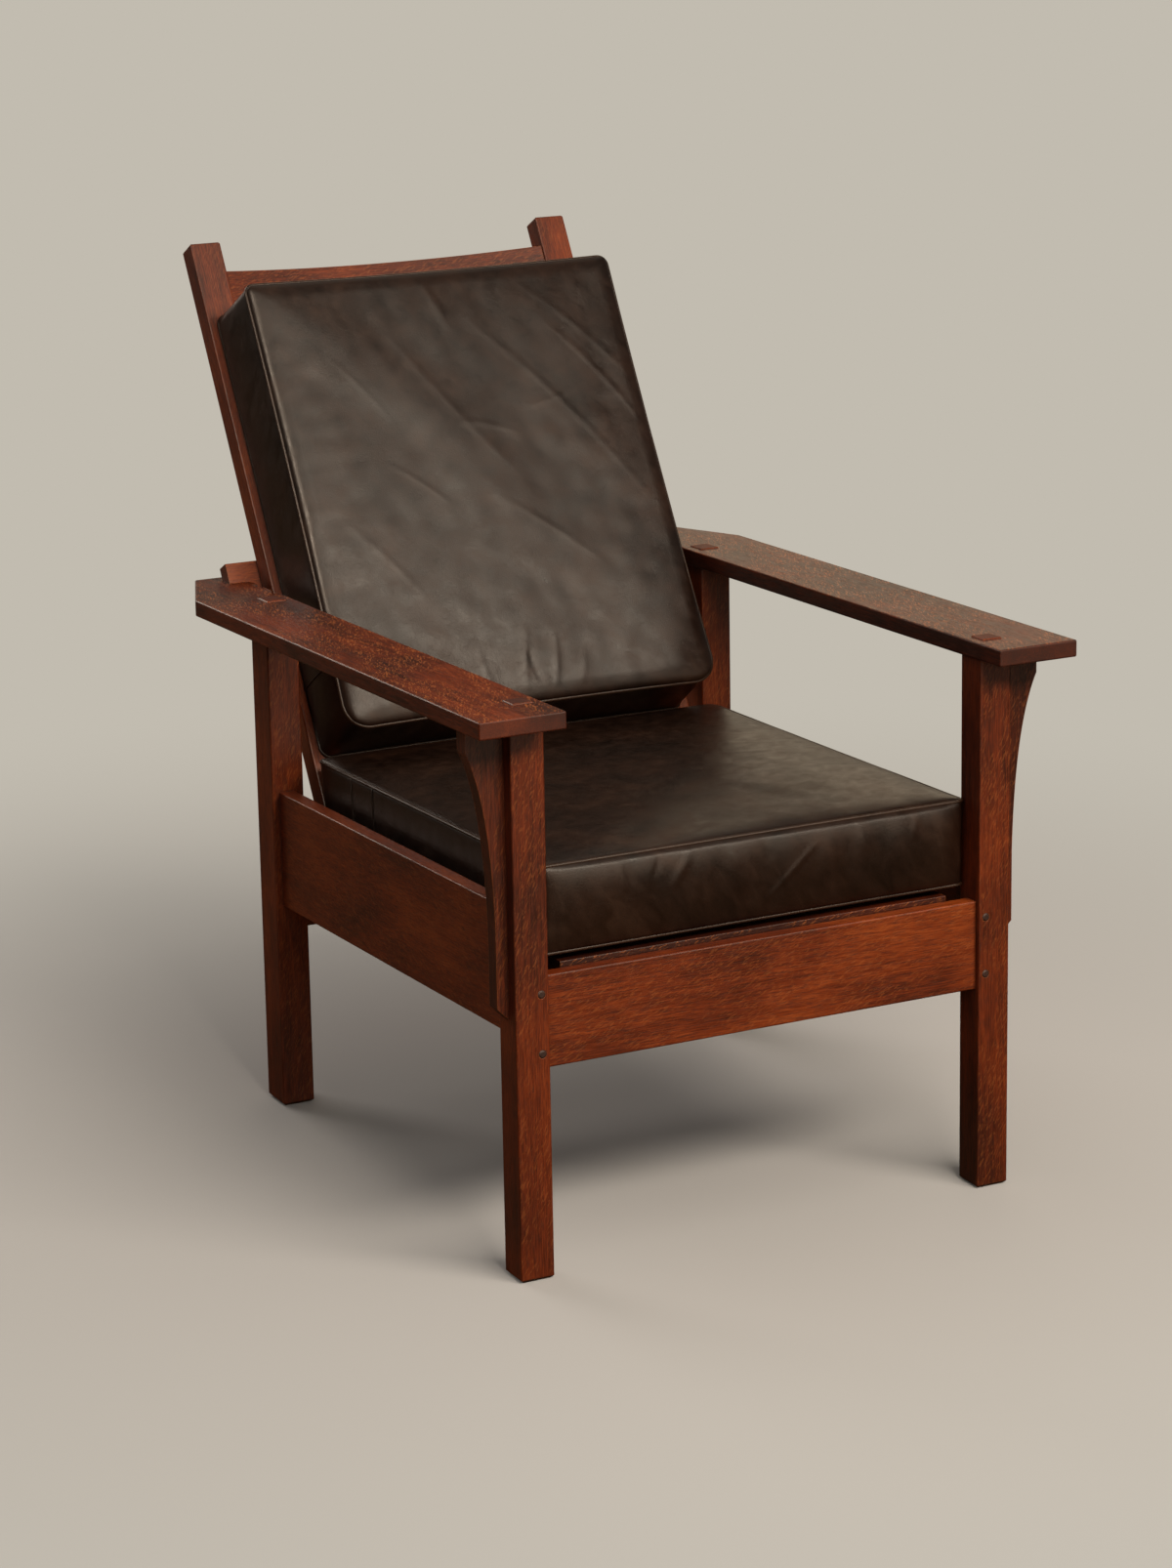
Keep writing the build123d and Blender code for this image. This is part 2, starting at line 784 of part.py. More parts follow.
# The back cushion is drawn lying down: x across, y up the slope and z towards
# the sitter, and is then stood against the posts.
back_cushion_low = height_on_slope(-post_face, seat_cushion_high) - back_cushion_settle
back_cushion_top = back_cushion_low + back_cushion_length
back_cushion_low_half_width = back_half_width - back_cushion_low_inset
back_cushion_top_half_width = back_half_width - back_cushion_top_inset
back_lens = lens(
    back_cushion_low_half_width,
    back_cushion_low,
    back_cushion_top,
    0,
    back_cushion_boxing,
    back_cushion_rear_crown,
    back_cushion_crown,
)
back_head = (back_cushion_top, back_cushion_top_half_width, back_cushion_top_corner)
back_cushion = back_lens & case(
    (back_cushion_low, back_cushion_low_half_width, back_cushion_low_corner),
    back_head,
    back_head,
    0,
    back_cushion_boxing,
)
upright = Plane(
    origin=(0, -post_face - cushion_gap, 0), x_dir=(1, 0, 0), z_dir=(0, -1, 0)
)
back_cushion = upright * back_cushion

# Every piece by name, still square

pieces = {
    "front_leg_right": front_leg,
    "front_leg_left": mirrored(front_leg),
    "rear_leg_right": rear_leg,
    "rear_leg_left": mirrored(rear_leg),
    "front_rail": front_rail,
    "rear_rail": rear_rail,
    "side_rail_right": side_rail,
    "side_rail_left": mirrored(side_rail),
    "front_rail_pegs": pegs,
    "arm_right": arm,
    "arm_left": mirrored(arm),
    "corbel_right": corbel,
    "corbel_left": mirrored(corbel),
    "seat_cleat": cleat,
    "seat_bearer": bearer,
    "seat_frame_front": seat_front,
    "seat_frame_rear": seat_rear,
    "seat_frame_right": seat_side,
    "seat_frame_left": mirrored(seat_side),
    "pivot_pin_right": pin,
    "pivot_pin_left": mirrored(pin),
    "pivot_spool_right": spool,
    "pivot_spool_left": mirrored(spool),
    "back_post_right": reclined(post),
    "back_post_left": reclined(mirrored(post)),
    "crossbar": crossbar,
    "seat_cushion": seat_cushion,
    "back_cushion": reclined(back_cushion),
}
for index, slat in enumerate(seat_slats):
    pieces[f"seat_slat_{index + 1}"] = slat
for index, slat in enumerate(back_slats):
    pieces[f"back_slat_{index + 1}"] = reclined(slat)

# Tip the chair back onto its rear feet and put the origin on the floor, under
# the middle of the whole chair.
tipped = {name: Rot(-math.degrees(lean), 0, 0) * solid for name, solid in pieces.items()}
extent = Compound([part for solid in tipped.values() for part in solid.solids()]).bounding_box()
centre_y = (extent.min.Y + extent.max.Y) / 2
to_floor = Pos(0, -centre_y, -extent.min.Z)
for name, solid in tipped.items():
    export_step(to_floor * solid, f"parts/{name}.step")

# The places that the joints use, after tipping.
placed = to_floor * Rot(-math.degrees(lean), 0, 0)
pivot = placed * Pos(0, pivot_y, pivot_height)
print("lean", round(math.degrees(lean), 4), "centre", round(centre_y, 3), "lift", -extent.min.Z)
print("pivot", pivot.position, "size", extent.size)
for step in range(notch_count):
    heel_y, heel_z = in_square(bar_front, bar_low)
    reach_y = heel_y - step * notch_pitch - pivot_y
    reach_z = heel_z - pivot_height
    bearing = math.atan2(reach_y, reach_z)
    bearing -= math.asin(bar_front / math.hypot(reach_y, reach_z))
    print("notch", step + 1, "tips the back forward", round(back_slope - math.degrees(bearing), 2))
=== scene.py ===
"""Looks of a mission reclining armchair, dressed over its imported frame.

The oak timbers keep their own solids and get a quarter-sawn finish whose
grain runs along each board. The two boxed leather cushions are built here:
crowned panels, boxing and welts, with the ripples of a cloth simulation and
drawn creases laid over them.
"""

import logging
import math
from dataclasses import dataclass
from enum import Enum

import bpy
import numpy as np
from mathutils import Matrix, Vector


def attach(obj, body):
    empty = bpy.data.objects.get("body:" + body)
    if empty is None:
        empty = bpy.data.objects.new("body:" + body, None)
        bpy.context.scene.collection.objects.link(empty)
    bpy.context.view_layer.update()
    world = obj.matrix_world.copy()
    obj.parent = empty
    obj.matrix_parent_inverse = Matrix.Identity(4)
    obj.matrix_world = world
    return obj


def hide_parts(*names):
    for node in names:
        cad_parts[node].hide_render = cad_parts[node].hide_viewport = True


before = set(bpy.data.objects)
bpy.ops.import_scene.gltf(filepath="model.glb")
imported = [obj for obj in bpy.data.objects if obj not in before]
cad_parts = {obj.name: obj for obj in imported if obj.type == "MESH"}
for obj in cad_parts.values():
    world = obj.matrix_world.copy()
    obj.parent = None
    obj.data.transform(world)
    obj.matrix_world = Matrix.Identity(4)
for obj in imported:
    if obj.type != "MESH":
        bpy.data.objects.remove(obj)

LOG = logging.getLogger("armchair")
# Three numbers: a place, a way, turns or scales.
Triple = tuple[float, float, float]
Shade = Triple
Socket = bpy.types.NodeSocket
Tree = bpy.types.NodeTree

MM = 0.001
SEED = 1912

# How far a board may lie from the tree's middle, in metres, and how far its
# shade may stray.
TREE_REACH = 8.0
TINT_SPREAD = 0.03

# The depth that a height of 1 stands for in a bump.
BUMP_DEPTH = 0.3 * MM

# Where Blender's Mix node keeps its share, its two colours and its result.
MIX_SHARE, MIX_FIRST, MIX_SECOND, MIX_RESULT = 0, 6, 7, 2

# The chair stands tipped back on its shorter rear legs, and its back slopes on
# from there.
LEAN = math.radians(2.0946)
BACK_SLOPE = math.radians(28.3) + LEAN
CENTRE_Y = 501.768


def tipped(x: float, y: float, z: float) -> Triple:
    """Carries a place in the square chair into the row frame.

    Args:
        x: Millimetres to the right.
        y: Millimetres to the rear.
        z: Millimetres up.

    Returns:
        The place in metres, the chair standing on its four feet.
    """
    back = y * math.cos(LEAN) + z * math.sin(LEAN) - CENTRE_Y
    up = z * math.cos(LEAN) - y * math.sin(LEAN)
    return x * MM, back * MM, up * MM


ACROSS = (1.0, 0.0, 0.0)
ALONG = (0.0, math.cos(LEAN), -math.sin(LEAN))
UPRIGHT = (0.0, math.sin(LEAN), math.cos(LEAN))
SLOPED = (0.0, math.sin(BACK_SLOPE), math.cos(BACK_SLOPE))
FACING = (0.0, -math.cos(BACK_SLOPE), math.sin(BACK_SLOPE))


class Grain(Enum):
    """How a board lies: the way its grain runs, then across its wide face."""

    RAIL = (ACROSS, UPRIGHT)
    SIDE_RAIL = (ALONG, UPRIGHT)
    ARM = (ALONG, ACROSS)
    LEG = (UPRIGHT, ACROSS)
    CORBEL = (UPRIGHT, ACROSS)
    POST = (SLOPED, ACROSS)
    BACK_SLAT = (ACROSS, SLOPED)
    SEAT_SLAT = (ACROSS, ALONG)
    SEAT_SIDE = (ALONG, ACROSS)

    @property
    def turn(self) -> Matrix:
        """Turns the row frame so that x runs along the grain and y across it."""
        along, wide = Vector(self.value[0]), Vector(self.value[1])
        return Matrix((along, wide, along.cross(wide)))


# ---- node trees


class Wires:
    """Adds nodes to a tree, and feeds them in one call each."""

    def __init__(self, tree: Tree) -> None:
        """Holds the tree."""
        self.tree = tree

    def node(self, kind: str, **settings: object) -> bpy.types.Node:
        """Adds a node.

        Args:
            kind: The node's type, without its prefix.
            settings: Its properties.

        Returns:
            The node.
        """
        made = self.tree.nodes.new(f"ShaderNode{kind}")
        for name, value in settings.items():
            setattr(made, name, value)
        return made

    def feed(self, node: bpy.types.Node, *first: object, **named: object) -> bpy.types.Node:
        """Sets or links a node's inputs.

        Args:
            node: The node.
            first: Sources or plain values for its first inputs, in order.
            named: The same by name, with _ for a space.

        Returns:
            The same node.
        """
        wanted = list(enumerate(first))
        wanted += [(name.replace("_", " "), value) for name, value in named.items()]
        for key, value in wanted:
            if isinstance(value, Socket):
                self.tree.links.new(value, node.inputs[key])
            else:
                node.inputs[key].default_value = value
        return node

    def sum(self, a: object, b: object) -> Socket:
        """Two values added."""
        return self.feed(self.node("Math", operation="ADD"), a, b).outputs[0]

    def less(self, a: object, b: object) -> Socket:
        """The first value less the second."""
        return self.feed(self.node("Math", operation="SUBTRACT"), a, b).outputs[0]

    def times(self, a: object, b: object) -> Socket:
        """Two values multiplied."""
        return self.feed(self.node("Math", operation="MULTIPLY"), a, b).outputs[0]

    def size(self, a: object) -> Socket:
        """A value without its sign."""
        return self.feed(self.node("Math", operation="ABSOLUTE"), a).outputs[0]

    def dot(self, a: object, b: object) -> Socket:
        """Two vectors' dot product."""
        made = self.node("VectorMath", operation="DOT_PRODUCT")
        return self.feed(made, a, b).outputs["Value"]

    def stretched(self, place: object, scale: Triple) -> Socket:
        """A place multiplied axis by axis."""
        made = self.node("VectorMath", operation="MULTIPLY")
        return self.feed(made, place, scale).outputs[0]

    def noise(
        self, place: object, scale: Triple, detail: float = 3.0, warp: float = 0.0
    ) -> Socket:
        """A noise with its own scale on each axis, per metre.

        Args:
            place: Where it is read.
            scale: Turns per metre on each axis.
            detail: Octaves.
            warp: How much it is distorted.

        Returns:
            Values round 0.5.
        """
        made = self.node("TexNoise")
        laid = self.stretched(place, scale)
        self.feed(made, Vector=laid, Scale=1.0, Detail=detail, Distortion=warp)
        return made.outputs["Fac"]

    def ramp(self, value: object, low: float, high: float) -> Socket:
        """A smooth step from 0 at low to 1 at high."""
        made = self.node("MapRange", interpolation_type="SMOOTHSTEP")
        return self.feed(made, value, low, high).outputs["Result"]

    def mix(self, share: object, a: object, b: object) -> Socket:
        """Two colours mixed.

        Args:
            share: From 0, all the first colour, to 1, all the second.
            a: The first colour.
            b: The second colour.

        Returns:
            The mixed colour.
        """
        made = self.node("Mix", data_type="RGBA")
        for place, value in ((MIX_SHARE, share), (MIX_FIRST, a), (MIX_SECOND, b)):
            if isinstance(value, Socket):
                self.tree.links.new(value, made.inputs[place])
            else:
                made.inputs[place].default_value = value
        return made.outputs[MIX_RESULT]

    def group(self, tree: Tree, **values: object) -> bpy.types.Node:
        """Places a shared group with its own values."""
        return self.feed(self.node("Group", node_tree=tree), **values)


class Group(Wires):
    """A shader node group under construction."""

    def __init__(self, name: str) -> None:
        """Starts an empty group.

        Args:
            name: The group's name.
        """
        super().__init__(bpy.data.node_groups.new(name, "ShaderNodeTree"))
        self.inlet = self.tree.nodes.new("NodeGroupInput")
        self.outlet = self.tree.nodes.new("NodeGroupOutput")

    def take(self, name: str, kind: str, value: object = None) -> Socket:
        """Adds an input socket.

        Args:
            name: The socket's name.
            kind: Float, Vector or Color.
            value: Its default.

        Returns:
            The socket as a source.
        """
        made = self.tree.interface.new_socket(
            name, in_out="INPUT", socket_type=f"NodeSocket{kind}"
        )
        if value is not None:
            made.default_value = value
        return self.inlet.outputs[name]

    def give(self, name: str, kind: str, source: Socket) -> None:
        """Adds an output socket and feeds it.

        Args:
            name: The socket's name.
            kind: Float, Vector or Color.
            source: What feeds it.
        """
        self.tree.interface.new_socket(name, in_out="OUTPUT", socket_type=f"NodeSocket{kind}")
        self.tree.links.new(source, self.outlet.inputs[name])


def paint(shade: Shade) -> tuple[float, float, float, float]:
    """A screen colour as linear light.

    A channel's share s of 255 becomes s / 12.92 up to 0.04045, and
    ((s + 0.055) / 1.055) to the power 2.4 above it.

    Args:
        shade: The channels, from 0 to 255.

    Returns:
        The linear channels and a full alpha.
    """
    shares = [value / 255.0 for value in shade]
    linear = [s / 12.92 if s <= 0.04045 else ((s + 0.055) / 1.055) ** 2.4 for s in shares]
    return linear[0], linear[1], linear[2], 1.0


def oak_group() -> Tree:
    """Quarter-sawn oak: growth bands and pores along the grain, ray flecks across it.

    Reads a board's own place in metres, x along the grain and y across its
    wide face.

    Returns:
        The group's tree.
    """
    g = Group("quarter_sawn_oak")
    board = g.take("Board", "Vector")
    tint = g.take("Tint", "Float", 0.0)
    end = g.take("End Grain", "Float", 0.0)
    dark = g.take("Dark", "Color")
    middle = g.take("Middle", "Color")
    light = g.take("Light", "Color")
    ray = g.take("Ray", "Color")
    fleck_share = g.take("Flecks", "Float", 0.5)
    gloss = g.take("Roughness", "Float", 0.4)

    # Scales run along the grain, across the wide face and through the board.
    blotch = g.noise(board, (5.0, 9.0, 9.0), 2.0, 0.4)
    bands = g.noise(board, (2.0, 75.0, 60.0), 2.0, 0.4)
    streaks = g.noise(board, (38.0, 720.0, 680.0), 3.0, 0.1)
    pores = g.noise(board, (75.0, 1000.0, 950.0), 1.0)
    slant = g.node("VectorRotate", rotation_type="Z_AXIS")
    g.feed(slant, Vector=board, Angle=math.radians(-24.0))
    dashes = g.noise(slant.outputs[0], (95.0, 560.0, 60.0), 2.0, 0.8)
    patches = g.noise(board, (9.0, 24.0, 24.0), 2.0, 0.5)

    tone = g.sum(g.times(blotch, 0.42), g.sum(g.times(bands, 0.20), g.times(streaks, 0.38)))
    tone = g.sum(tone, tint)
    body = g.mix(g.ramp(tone, 0.27, 0.56), dark, middle)
    body = g.mix(g.ramp(tone, 0.46, 0.72), body, light)
    pore = g.times(g.ramp(pores, 0.52, 0.68), 0.5)
    body = g.mix(pore, body, dark)
    fleck = g.times(g.ramp(dashes, 0.54, 0.63), g.ramp(patches, 0.32, 0.52))
    fleck = g.times(fleck, fleck_share)
    body = g.mix(fleck, body, ray)
    body = g.mix(g.times(end, 0.5), body, dark)

    rough = g.sum(gloss, g.times(g.less(streaks, 0.5), 0.3))
    rough = g.sum(rough, g.sum(g.times(pore, 0.2), g.times(end, 0.15)))
    height = g.less(g.times(streaks, 0.45), g.sum(g.times(pore, 0.9), g.times(fleck, -0.15)))
    g.give("Color", "Color", body)
    g.give("Roughness", "Float", rough)
    g.give("Height", "Float", height)
    return g.tree


def arris_group() -> Tree:
    """Painted highlight along each arris, and painted shade in joints and recesses.

    The bevelled normal is set against the flat one for the arris highlight, and
    the nearness of other timber gives the joint shade.

    Returns:
        The group's tree.
    """
    g = Group("arris_highlight_and_joint_shade")
    radius = g.take("Radius", "Float", 1.5 * MM)
    reach = g.take("Joint Shade", "Float", 6.0 * MM)
    eased = g.feed(g.node("Bevel", samples=6), Radius=radius)
    flat = g.node("NewGeometry").outputs["Normal"]
    # Painted highlight: a lighter colour along each arris.
    edge = g.ramp(g.less(1.0, g.dot(eased.outputs[0], flat)), 0.012, 0.2)
    # Painted shade: darker where other timber is near, found by ambient occlusion.
    near = g.node("AmbientOcclusion", samples=6)
    g.feed(near, Distance=reach)
    joint_shade = g.less(1.0, g.ramp(near.outputs["AO"], 0.2, 0.92))
    g.give("Edge Highlight", "Float", edge)
    g.give("Joint Shade", "Float", joint_shade)
    g.give("Normal", "Vector", eased.outputs[0])
    return g.tree


def hide_group() -> Tree:
    """Aged leather: pebbled grain, fine crazing, slow shades, and lighter welts and joins from
    rubbed wear and a painted highlight.

    The shades are drawn out along the streaks, which run down to the right.

    Returns:
        The group's tree.
    """
    g = Group("aged_hide")
    place = g.take("Place", "Vector")
    rub_and_sheen = g.take("Rub", "Float", 0.0)
    dark = g.take("Dark", "Color")
    middle = g.take("Middle", "Color")
    light = g.take("Light", "Color")
    gloss = g.take("Roughness", "Float", 0.42)

    lay = g.node("VectorRotate", rotation_type="AXIS_ANGLE")
    g.feed(lay, Vector=place, Axis=(-0.54, 0.84, 0.0), Angle=math.radians(41.0))
    slow = g.noise(lay.outputs[0], (16.0, 16.0, 7.0), 4.0, 0.5)
    cloud = g.noise(lay.outputs[0], (62.0, 62.0, 24.0), 5.0, 0.6)
    cells = g.feed(g.node("TexVoronoi", feature="DISTANCE_TO_EDGE"), Vector=place, Scale=640.0)
    pebble = g.ramp(cells.outputs["Distance"], 0.0, 0.3)
    crazing = g.noise(place, (110.0, 110.0, 110.0), 3.0, 1.0)
    craze = g.ramp(g.size(g.less(crazing, 0.5)), 0.0, 0.03)

    tone = g.sum(g.times(slow, 0.6), g.times(cloud, 0.4))
    body = g.mix(g.ramp(tone, 0.3, 0.64), dark, middle)
    body = g.mix(g.times(g.ramp(tone, 0.54, 0.76), 0.2), body, light)
    # Welts and joins turn lighter: rubbed wear and a painted highlight.
    body = g.mix(rub_and_sheen, body, light)
    body = g.mix(g.times(g.less(1.0, craze), 0.25), body, dark)
    rough = g.sum(gloss, g.times(g.less(cloud, 0.5), 0.28))
    height = g.sum(g.times(pebble, 0.3), g.times(craze, 0.35))
    height = g.sum(height, g.times(cloud, 0.5))
    g.give("Color", "Color", body)
    g.give("Roughness", "Float", rough)
    g.give("Height", "Float", height)
    return g.tree


# ---- finishes


@dataclass(frozen=True)
class OakFinish:
    """A fumed and waxed oak finish."""

    name: str
    dark: Shade
    middle: Shade
    light: Shade
    edge: Shade
    flecks: float = 0.5
    roughness: float = 0.4
    edge_highlight_share: float = 0.75
    joint_shade_share: float = 0.85
    ease: float = 1.1
    relief: float = 0.3
    specular: float = 0.4
    ray: Shade = (176, 102, 52)

    def material(self, board: "Board", groups: "Groups") -> bpy.types.Material:
        """Builds one board's material.

        Args:
            board: The board, for its grain, tint and place in the tree.
            groups: The shared node groups.

        Returns:
            The material.
        """
        made = bpy.data.materials.new(f"{self.name}_{board.node}")
        made.use_nodes = True
        w = Wires(made.node_tree)
        shader = made.node_tree.nodes["Principled BSDF"]
        turn = board.grain.turn
        laid = w.node("Mapping")
        w.feed(
            laid, Vector=w.node("TexCoord").outputs["Object"], Location=board.cut,
            Rotation=turn.to_euler("XYZ"),
        )
        flat = w.node("NewGeometry").outputs["Normal"]
        end = w.ramp(w.size(w.dot(flat, tuple(turn[0]))), 0.75, 0.95)
        wide_face = w.ramp(w.size(w.dot(flat, tuple(turn[2]))), 0.6, 0.9)
        oak = w.group(
            groups.oak, Board=laid.outputs[0], Tint=board.tint, End_Grain=end,
            Dark=paint(self.dark), Middle=paint(self.middle), Light=paint(self.light),
            Ray=paint(self.ray), Flecks=w.times(wide_face, self.flecks * board.figure),
            Roughness=self.roughness,
        )
        arris = w.group(groups.arris, Radius=self.ease * MM)
        # The arris colour is a painted highlight; the joint mix below is painted shade.
        edge_highlight_mask = w.times(arris.outputs["Edge Highlight"], self.edge_highlight_share)
        body = w.mix(edge_highlight_mask, oak.outputs["Color"], paint(self.edge))
        # Painted shade mixed in where timbers meet and in recesses.
        body = w.mix(w.times(arris.outputs["Joint Shade"], self.joint_shade_share), body, paint(self.dark))
        bump = w.feed(
            w.node("Bump"), Strength=self.relief, Distance=BUMP_DEPTH,
            Height=oak.outputs["Height"], Normal=arris.outputs["Normal"],
        )
        w.feed(shader, Base_Color=body, Roughness=oak.outputs["Roughness"], Normal=bump.outputs[0])
        shader.inputs["Specular IOR Level"].default_value = self.specular
        return made


@dataclass(frozen=True)
class HideFinish:
    """A leather finish."""

    name: str
    dark: Shade
    middle: Shade
    light: Shade
    roughness: float = 0.42
    relief: float = 0.35
    specular: float = 0.5

    def material(self, groups: "Groups") -> bpy.types.Material:
        """Builds the material.

        Args:
            groups: The shared node groups.

        Returns:
            The material.
        """
        made = bpy.data.materials.new(self.name)
        made.use_nodes = True
        w = Wires(made.node_tree)
        shader = made.node_tree.nodes["Principled BSDF"]
        hide = w.group(
            groups.hide, Place=w.node("TexCoord").outputs["Object"],
            Rub=w.node("Attribute", attribute_name="rub_and_sheen").outputs["Fac"],
            Dark=paint(self.dark), Middle=paint(self.middle), Light=paint(self.light),
            Roughness=self.roughness,
        )
        bump = w.feed(
            w.node("Bump"), Strength=self.relief, Distance=BUMP_DEPTH,
            Height=hide.outputs["Height"],
        )
        w.feed(
            shader, Base_Color=hide.outputs["Color"], Roughness=hide.outputs["Roughness"],
            Normal=bump.outputs[0],
        )
        shader.inputs["Specular IOR Level"].default_value = self.specular
        return made


@dataclass(frozen=True)
class Groups:
    """The shared node groups, built once."""

    oak: Tree
    arris: Tree
    hide: Tree


# ---- timber


@dataclass(frozen=True)
class Board:
    """One timber: its node, how it was cut, and its shade against its neighbours."""

    node: str
    grain: Grain
    tint: float = 0.0
    figure: float = 1.0
    cut: Triple = (0.0, 0.0, 0.0)


@dataclass
class Timberwork:
    """A framed sub-assembly whose solids stay and are dressed in oak."""

    name: str
    finish: OakFinish
    boards: tuple[Board, ...]

    def dress(self, groups: Groups) -> None:
        """Gives each board a material of its own.

        Args:
            groups: The shared node groups.
        """
        for board in self.boards:
            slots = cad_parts[board.node].data.materials
            slots.clear()
            slots.append(self.finish.material(board, groups))
        LOG.info("%s: %d boards in %s", self.name, len(self.boards), self.finish.name)


def boards(
    names: str, grain: Grain, seed: int, figure: float = 1.0, tint: float = 0.0
) -> tuple[Board, ...]:
    """Cuts several boards, each from its own place in the tree.

    Args:
        names: The nodes, parted by spaces.
        grain: How they lie.
        seed: Seed of their places and shades.
        figure: How strong their ray flecks are.
        tint: Their common shade, added to each one's own.

    Returns:
        The boards.
    """
    rng = np.random.default_rng(SEED + seed)
    made = []
    for name in names.split():
        cut = tuple(float(value) for value in rng.uniform(-TREE_REACH, TREE_REACH, 3))
        stray = float(rng.uniform(-TINT_SPREAD, TINT_SPREAD))
        made.append(Board(name, grain, tint + stray, figure, cut))
    return tuple(made)


# The fifth colour of each finish is the painted highlight along its arrises.
OAK = OakFinish("oak", (46, 15, 6), (114, 44, 12), (156, 74, 26), (184, 108, 58), specular=0.3)
OAK_HIDDEN = OakFinish(
    "seat_wood", (60, 28, 14), (112, 62, 34), (150, 96, 58), (160, 104, 66),
    flecks=0.2, roughness=0.55,
)
PEG = OakFinish(
    "peg", (30, 14, 9), (58, 28, 18), (84, 46, 32), (100, 60, 40), flecks=0.0, roughness=0.45
)


def timberwork() -> tuple[Timberwork, ...]:
    """The chair's timber.

    Returns:
        Its sub-assemblies, each with its boards.
    """
    pair = "{0}_right {0}_left".format
    seat_slats = " ".join(f"seat_slat_{number}" for number in range(1, 6))
    back_slats = " ".join(f"back_slat_{number}" for number in range(1, 6))
    return (
        Timberwork(
            "fixed frame", OAK,
            boards(f"{pair('front_leg')} {pair('rear_leg')}", Grain.LEG, 1, figure=0.5, tint=-0.06)
            + boards("front_rail rear_rail", Grain.RAIL, 2, figure=0.5)
            + boards(pair("side_rail"), Grain.SIDE_RAIL, 3, figure=0.5)
            + boards(pair("arm"), Grain.ARM, 4, figure=1.05, tint=-0.12)
            + boards(pair("corbel"), Grain.CORBEL, 5, figure=0.4, tint=-0.12),
        ),
        Timberwork("pegs", PEG, boards("front_rail_pegs", Grain.SIDE_RAIL, 6)),
        Timberwork(
            "pivots", OAK,
            boards(f"{pair('pivot_pin')} {pair('pivot_spool')}", Grain.RAIL, 7, figure=0.0),
        ),
        Timberwork(
            "seat slats", OAK_HIDDEN,
            boards(f"seat_cleat seat_bearer {seat_slats}", Grain.SEAT_SLAT, 8),
        ),
        Timberwork(
            "drop-in seat frame", OAK,
            # Painted shade: the drop-in frame is tinted darker because it lies in the shadow under
            # the seat cushion.
            boards("seat_frame_front seat_frame_rear", Grain.RAIL, 9, tint=-0.2)
            + boards(pair("seat_frame"), Grain.SEAT_SIDE, 10, tint=-0.2),
        ),
        Timberwork(
            "reclining back", OAK,
            boards(pair("back_post"), Grain.POST, 11, figure=0.3)
            + boards(back_slats, Grain.BACK_SLAT, 12, figure=0.5, tint=-0.08),
        ),
        Timberwork("crossbar", OAK, boards("crossbar", Grain.BACK_SLAT, 13, figure=0.3)),
    )


# ---- meshes


def new_mesh(
    name: str, points: np.ndarray, faces: np.ndarray | list[list[int]]
) -> bpy.types.Object:
    """Makes an object from points and faces, shaded smooth.

    Args:
        name: The object's name.
        points: Rows of x, y, z.
        faces: Rows of corner numbers.

    Returns:
        The linked object.
    """
    mesh = bpy.data.meshes.new(name)
    mesh.from_pydata(points, [], faces)
    mesh.shade_smooth()
    mesh.update()
    made = bpy.data.objects.new(name, mesh)
    bpy.context.scene.collection.objects.link(made)
    return made


# ---- cushions


CLOTH_FRAMES = 20


@dataclass(frozen=True)
class Outline:
    """A cushion's plan at one seam: x across, y from near end to far end, in millimetres."""

    near: float
    far: float
    near_half: float
    far_half: float
    near_corner: float
    far_corner: float
    draw_in: float = 3.0

    def points(self, across: np.ndarray, along: np.ndarray) -> np.ndarray:
        """Carries a square grid onto the rounded plan.

        Each side is straight from corner to corner, then drawn in by a
        parabola. In a corner's square of side r a point (p, q) goes to
        (p*sqrt(1 - q*q/2), q*sqrt(1 - p*p/2)), which rounds it to a quarter
        disc.

        Args:
            across: Grid places from -1 to 1 over the width.
            along: Grid places from -1 to 1 over the length.

        Returns:
            Rows of x, y in millimetres.
        """
        share = (along + 1.0) / 2.0
        half = self.near_half + (self.far_half - self.near_half) * share
        length = (self.far - self.near) / 2.0
        corner = self.near_corner + (self.far_corner - self.near_corner) * (along > 0)
        p = 1.0 - (1.0 - np.abs(across)) * half / corner
        q = 1.0 - (1.0 - np.abs(along)) * length / corner
        inside = (p > 0) & (q > 0)
        p_round = np.where(inside, p * np.sqrt(np.clip(1.0 - q * q / 2.0, 0, 1)), p)
        q_round = np.where(inside, q * np.sqrt(np.clip(1.0 - p * p / 2.0, 0, 1)), q)
        side = half - corner * (1.0 - p_round)
        end = length - corner * (1.0 - q_round)
        side -= self.draw_in * (1.0 - along**2) * np.clip(np.abs(across), 0, 1) ** 3
        end -= self.draw_in * (1.0 - across**2) * np.clip(np.abs(along), 0, 1) ** 3
        x = np.sign(across) * side
        y = (self.near + self.far) / 2.0 + np.sign(along) * end
        return np.stack((x, y), axis=-1)


